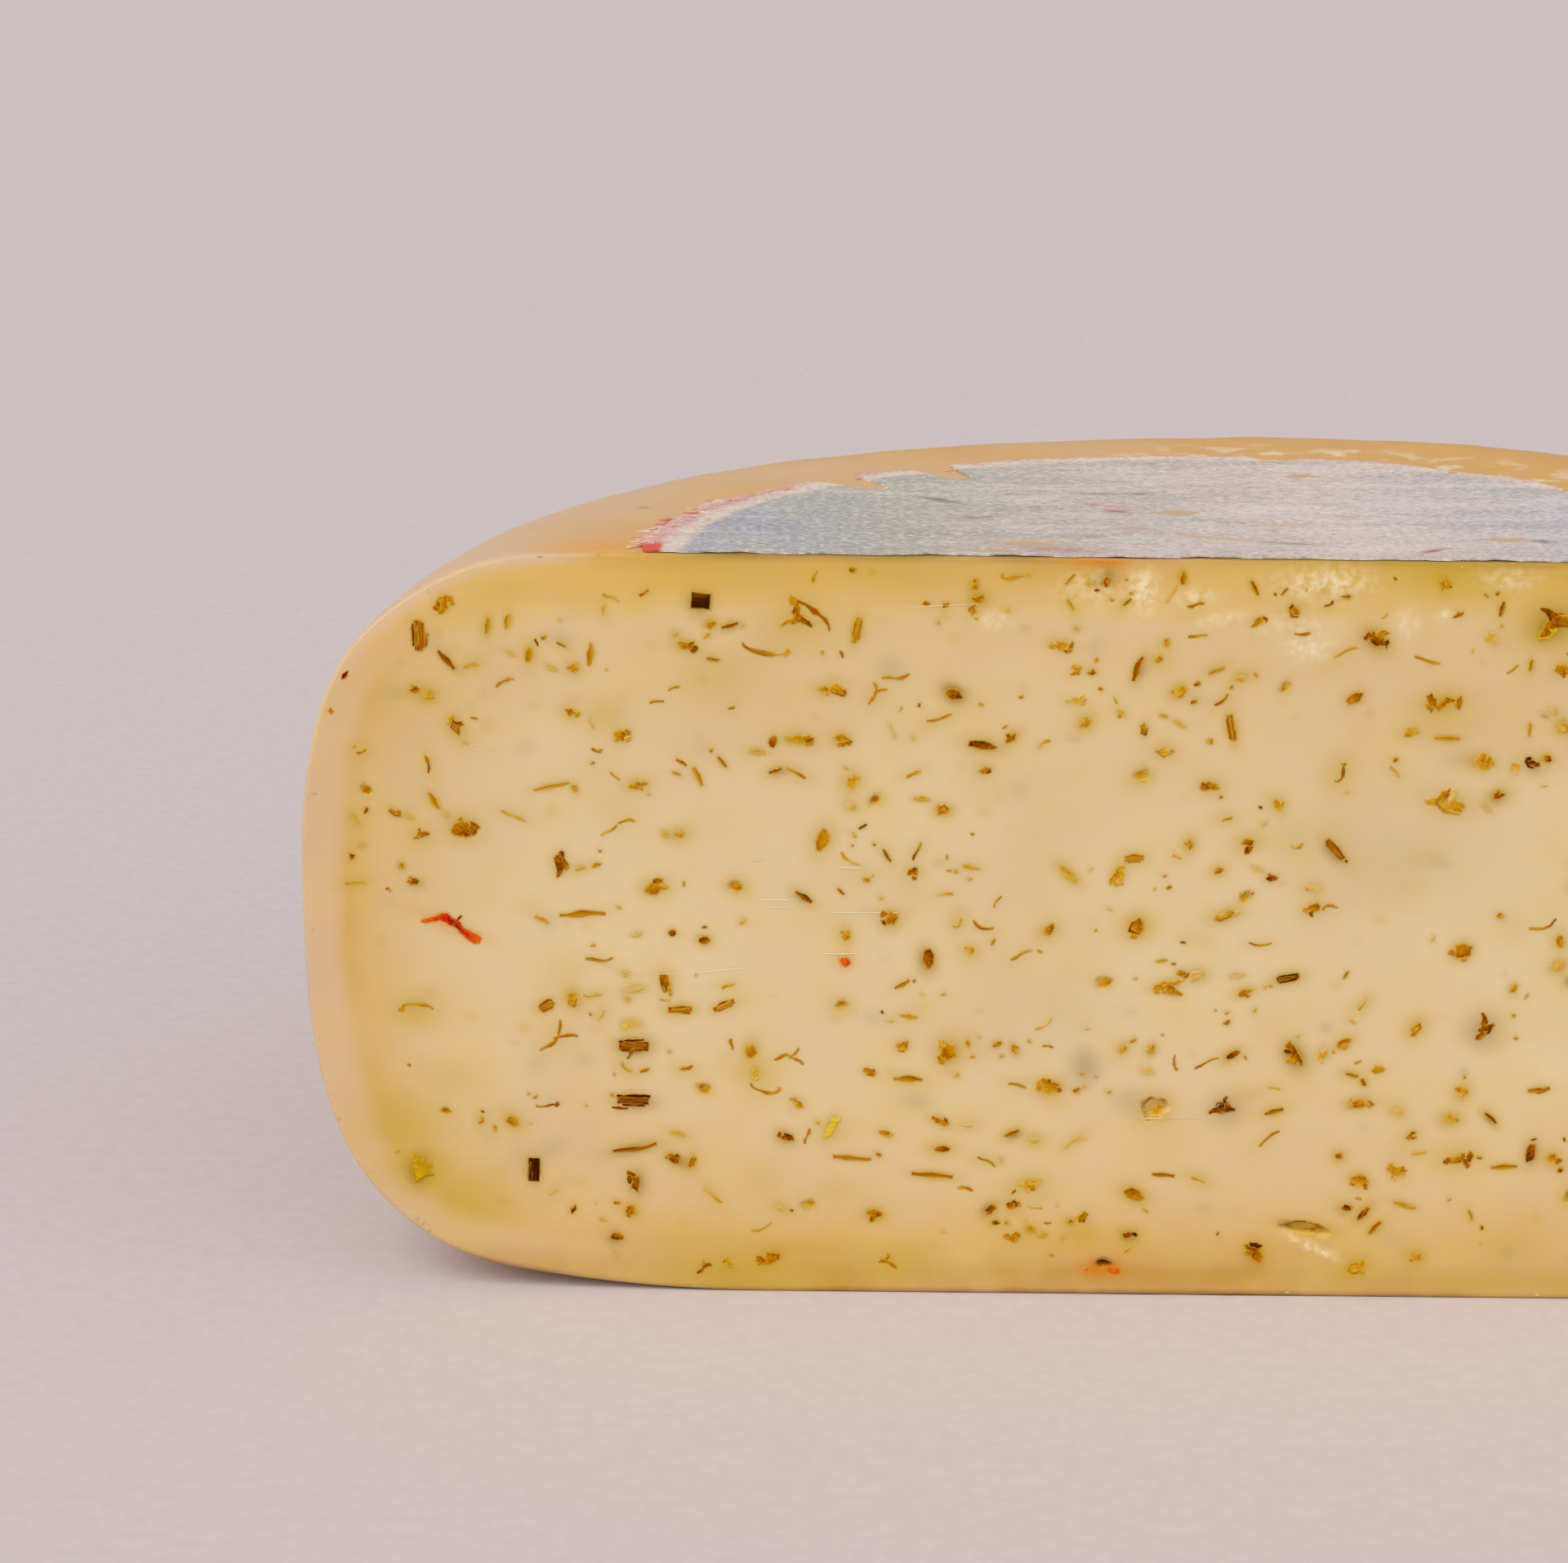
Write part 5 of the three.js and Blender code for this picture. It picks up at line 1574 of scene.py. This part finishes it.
# %% Marks that were rubbed into the paper
# Each mark: place across and behind the cut, half length, half width, tilt and strength
LABEL_MARKS = {
    "dark_mark": [
        (-33.4, 35.9, 3.6, 0.9, -40, 0.8), (-29, 24.3, 1.8, 0.6, -28, 0.5), (-27.3, 24.3, 2.8, 0.6, 15, 0.5),
        (-11.8, 40.8, 3.2, 0.8, -4, 0.5), (-6, 41.1, 2, 0.8, 22, 0.5), (-20.2, 31, 1.8, 0.7, 5, 0.4),
        (-13.1, 12.2, 1.8, 0.7, 5, 0.4), (-23.6, 40.3, 2, 0.8, -22, 0.4), (12.4, 8.8, 3.4, 0.6, -9, 0.6),
        (44.7, 11, 1.6, 0.7, -42, 0.8),
    ],
    "red_mark": [
        (-9.5, 29, 1.9, 0.9, -28, 0.9), (-12.6, 33.2, 0.9, 0.7, -20, 0.7), (-10, 32, 1.7, 0.9, -40, 0.4),
        (-7.9, 17.4, 2.3, 0.7, -8, 0.35), (30, 5.2, 2.0, 0.6, 43, 1), (-16, 3, 5.5, 2.6, -10, 0.3),
    ],
    "tan_mark": [
        (3.2, 11.7, 6, 0.9, -23, 0.7), (12, 20, 4, 1.6, -12, 0.35), (21, 25.8, 2.6, 1.3, -18, 0.3),
        (-21, 7.8, 4.6, 2.8, -20, 0.5),
    ],
}
spots = places_of(label)
for name, rows in LABEL_MARKS.items():
    strengths = spot_strength(spots[:, 0], spots[:, 1] - CUT_Y, rows)
    label.data.attributes.new(name, "FLOAT", "POINT").data.foreach_set("value", strengths)
strengths = worn_strength(spots[:, 0], spots[:, 1] - CUT_Y)
label.data.attributes.new("worn_mark", "FLOAT", "POINT").data.foreach_set("value", strengths)
print("Marks on the label:", {name: len(rows) for name, rows in LABEL_MARKS.items()})

# %% [markdown]
# Rubbed paper shows its fibres: short pale and grey threads that all lie one way. The print is left as a
# change from lavender at both ends over grey-green to cream, and as a thin red line along the torn rim,
# with white pulp inside it. The ramps over the radius and along the cut give these fields, and noise
# frays them.

# %% Worn paper
FIBRE_LENGTH = 0.9
FIBRE_WIDTH = 0.7
FIBRE_DEPTH = 0.12
FIELD_CLOUD = 16
STREAK = (30, 5)
FRAY_SIZE = 2
RIM_INNER, RIM_OUTER = 60.0, 74.0
FIELD_ENDS = (-66.0, 66.0)
FIELD = [
    (0.02, "#a09ea8"), (0.07, "#aba8a4"), (0.2, "#b2ac9a"), (0.34, "#bdb0a3"), (0.48, "#c8b8ac"),
    (0.62, "#d2c0b3"), (0.78, "#c8bbb4"), (0.9, "#c2b9ba"), (1.0, "#b6b0ba"),
]
RIM = [
    (0.42, "#dcc4ae"), (0.54, "#dfc9b6"), (0.62, "#dcb6a6"), (0.7, "#d28d80"), (0.8, "#dcb4a4"),
    (1.0, "#e6d4c4"),
]
RED_PRINT = "#d8432c"
LINT, SHADOW, DULL_STREAK = "#e4dad2", "#7d756d", "#9b938c"
WORN_PAPER = "#c4a582"
TAN_MARK, RED_MARK, DARK_MARK = "#c9a06c", "#b8414a", "#5c534c"
# The red print is whole at the left front corner: axis, where it starts and where it is full
RED_CORNER = [("X", -68.3, -68.8), ("Y", 6.5, 4.5)]

paper, tree, shader, place = start_finish(
    "label paper, rubbed print", Roughness=0.85, IOR=1.5, Sheen_Weight=0.1
)
xyz = add_node(tree, "SeparateXYZ", inputs={"Vector": place})
flat = add_node(tree, "VectorMath", {"operation": "MULTIPLY"}, {0: place, 1: (1, 1, 0)}).outputs["Vector"]
radius = add_node(tree, "VectorMath", {"operation": "LENGTH"}, {0: flat}).outputs["Value"]
sways = []
for size, detail, reach in [(FRAY_SIZE, 4.0, 1.2), (FIELD_CLOUD, 3.0, 0.22)]:
    noise = add_node(tree, "TexNoise", inputs={"Vector": place, "Scale": 1 / size, "Detail": detail})
    limits = {"Value": noise.outputs["Fac"], "To Min": -reach, "To Max": reach}
    sways.append(add_node(tree, "MapRange", inputs=limits).outputs["Result"])
fray, cloud = sways
rim = add_node(tree, "Math", {"operation": "ADD"}, {0: radius, 1: fray}).outputs["Value"]
rim = add_node(tree, "MapRange", inputs={
    "Value": rim, "From Min": RIM_INNER, "From Max": RIM_OUTER,
}).outputs["Result"]
lengthwise = add_node(tree, "MapRange", inputs={
    "Value": xyz.outputs["X"], "From Min": FIELD_ENDS[0], "From Max": FIELD_ENDS[1],
}).outputs["Result"]
along = add_node(tree, "Math", {"operation": "ADD"}, {0: cloud, 1: lengthwise}).outputs["Value"]
field = add_node(tree, "ValToRGB", inputs={"Fac": along}, stops=FIELD).outputs["Color"]
rim_colour = add_node(tree, "ValToRGB", inputs={"Fac": rim}, stops=RIM).outputs["Color"]
brushed = add_node(tree, "Mapping", inputs={
    "Vector": place, "Rotation": (0, 0, math.radians(-4)), "Scale": (1 / FIBRE_LENGTH, 1 / FIBRE_WIDTH, 1.0),
}).outputs["Vector"]
fibres = add_node(tree, "TexNoise", inputs={
    "Vector": brushed, "Scale": 1.0, "Detail": 4.0, "Roughness": 0.7,
}).outputs["Fac"]
drawn_out = add_node(tree, "Mapping", inputs={"Vector": place, "Scale": (1 / STREAK[0], 1 / STREAK[1], 1.0)})
streaks = add_node(tree, "TexNoise", inputs={
    "Vector": drawn_out.outputs["Vector"], "Scale": 1.0, "Detail": 5.0, "Roughness": 0.65,
}).outputs["Fac"]
in_corner = {}
for i, (axis, starts, ends) in enumerate(RED_CORNER):
    limits = {"Value": xyz.outputs[axis], "From Min": starts, "From Max": ends}
    in_corner[i] = add_node(tree, "MapRange", inputs=limits).outputs["Result"]
red_here = add_node(tree, "Math", {"operation": "MULTIPLY"}, in_corner).outputs["Value"]
print("Fibres are", FIBRE_WIDTH, "mm wide and", FIBRE_LENGTH, "mm long")

# %% Layers of the worn paper
masks = {
    name: add_node(tree, "Attribute", {"attribute_name": name}).outputs["Fac"]
    for name in [*LABEL_MARKS, "worn_mark"]
}
for name, value, starts, ends, most in [
    ("in_rim", rim, 0.38, 0.46, 1.0), ("pale_streak", streaks, 0.5, 0.72, 0.5),
    ("dull_streak", streaks, 0.5, 0.3, 0.5), ("lint", fibres, 0.5, 0.66, 0.7),
    ("shadow", fibres, 0.48, 0.3, 0.55),
]:
    limits = {"Value": value, "From Min": starts, "From Max": ends, "To Max": most}
    masks[name] = add_node(tree, "MapRange", inputs=limits).outputs["Result"]
masks["red_print"] = red_here
colour = field
for name, tint in [
    ("in_rim", rim_colour), ("pale_streak", linear(LINT)), ("dull_streak", linear(DULL_STREAK)),
    ("lint", linear(LINT)), ("shadow", linear(SHADOW)), ("tan_mark", linear(TAN_MARK)),
    ("worn_mark", linear(WORN_PAPER)), ("red_mark", linear(RED_MARK)), ("dark_mark", linear(DARK_MARK)),
    ("red_print", linear(RED_PRINT)),
]:
    layer = {FACTOR: masks[name], COLOUR_A: colour, COLOUR_B: tint}
    colour = add_node(tree, "Mix", {"data_type": "RGBA"}, layer).outputs[MIXED]
tree.links.new(colour, shader.inputs["Base Color"])
felt = add_node(tree, "Bump", inputs={"Height": fibres, "Strength": 0.8, "Distance": FIBRE_DEPTH * MM})
tree.links.new(felt.outputs["Normal"], shader.inputs["Normal"])
label.data.materials.append(paper)
print("Layers on the label:", len(masks))

# %% [markdown]
# ## Torn fibres
# Where the label tore, single threads of pulp stick out over the rind, pink or white. Each is a narrow
# strip from the sheet's top down to the rind, extruded to the thickness of a thread. At the left end they
# point outwards, and elsewhere they lie along the rim.

# %% Threads along the torn rim
LABEL_THREADS = 320
THREAD_LONGEST = 3.6
THREAD_SHORTEST = 0.8
THREAD_THICKNESS = 0.08
FRAYED_END = 150
PULP_CLOUD = 2
PULP_COLOURS = [(0.36, "#e6dcd2"), (0.46, "#e4c8ba"), (0.54, "#dc9a8a"), (0.66, "#d2705c")]

bm = bmesh.new()
for i in range(LABEL_THREADS):
    at_end = draw.random() < 0.4
    turn = math.radians(draw.uniform(FRAYED_END, 177) if at_end else draw.uniform(3, FRAYED_END))
    start = label_radius(turn) - draw.uniform(0.3, 2)
    way = turn + math.radians(draw.gauss(0, 35) if at_end else draw.gauss(75, 25))
    long = THREAD_SHORTEST + (THREAD_LONGEST - THREAD_SHORTEST) * draw.random() ** 1.5
    corners, _ = wisp(long, draw.uniform(0.18, 0.4), draw.uniform(-0.2, 0.2))
    verts = []
    for u, v in corners:
        along = u + long / 2
        x = start * math.cos(turn) + along * math.cos(way) - v * math.sin(way)
        y = start * math.sin(turn) + along * math.sin(way) + v * math.cos(way)
        drop = LABEL_THICKNESS * min(along / long, 1)
        lift = LABEL_LIFT + LABEL_THICKNESS + 0.04 - drop
        y = max(y, LABEL_SETBACK)
        verts.append(bm.verts.new((x, y, settle((x, y, WHEEL_HEIGHT)).z + lift)))
    bm.faces.new(verts)
made = bmesh.ops.extrude_face_region(bm, geom=list(bm.faces), use_keep_orig=True)["geom"]
lower = [item for item in made if isinstance(item, bmesh.types.BMVert)]
bmesh.ops.translate(bm, verts=lower, vec=(0, 0, -THREAD_THICKNESS))
bmesh.ops.recalc_face_normals(bm, faces=bm.faces)

pulp, tree, shader, place = start_finish("paper pulp, torn", Roughness=0.9, IOR=1.5)
tint = add_node(tree, "TexNoise", inputs={
    "Vector": place, "Scale": 1 / PULP_CLOUD, "Detail": 3.0,
}).outputs["Fac"]
tint = add_node(tree, "ValToRGB", inputs={"Fac": tint}, stops=PULP_COLOURS)
tree.links.new(tint.outputs["Color"], shader.inputs["Base Color"])
finish_piece(bm, "label_threads", [pulp])
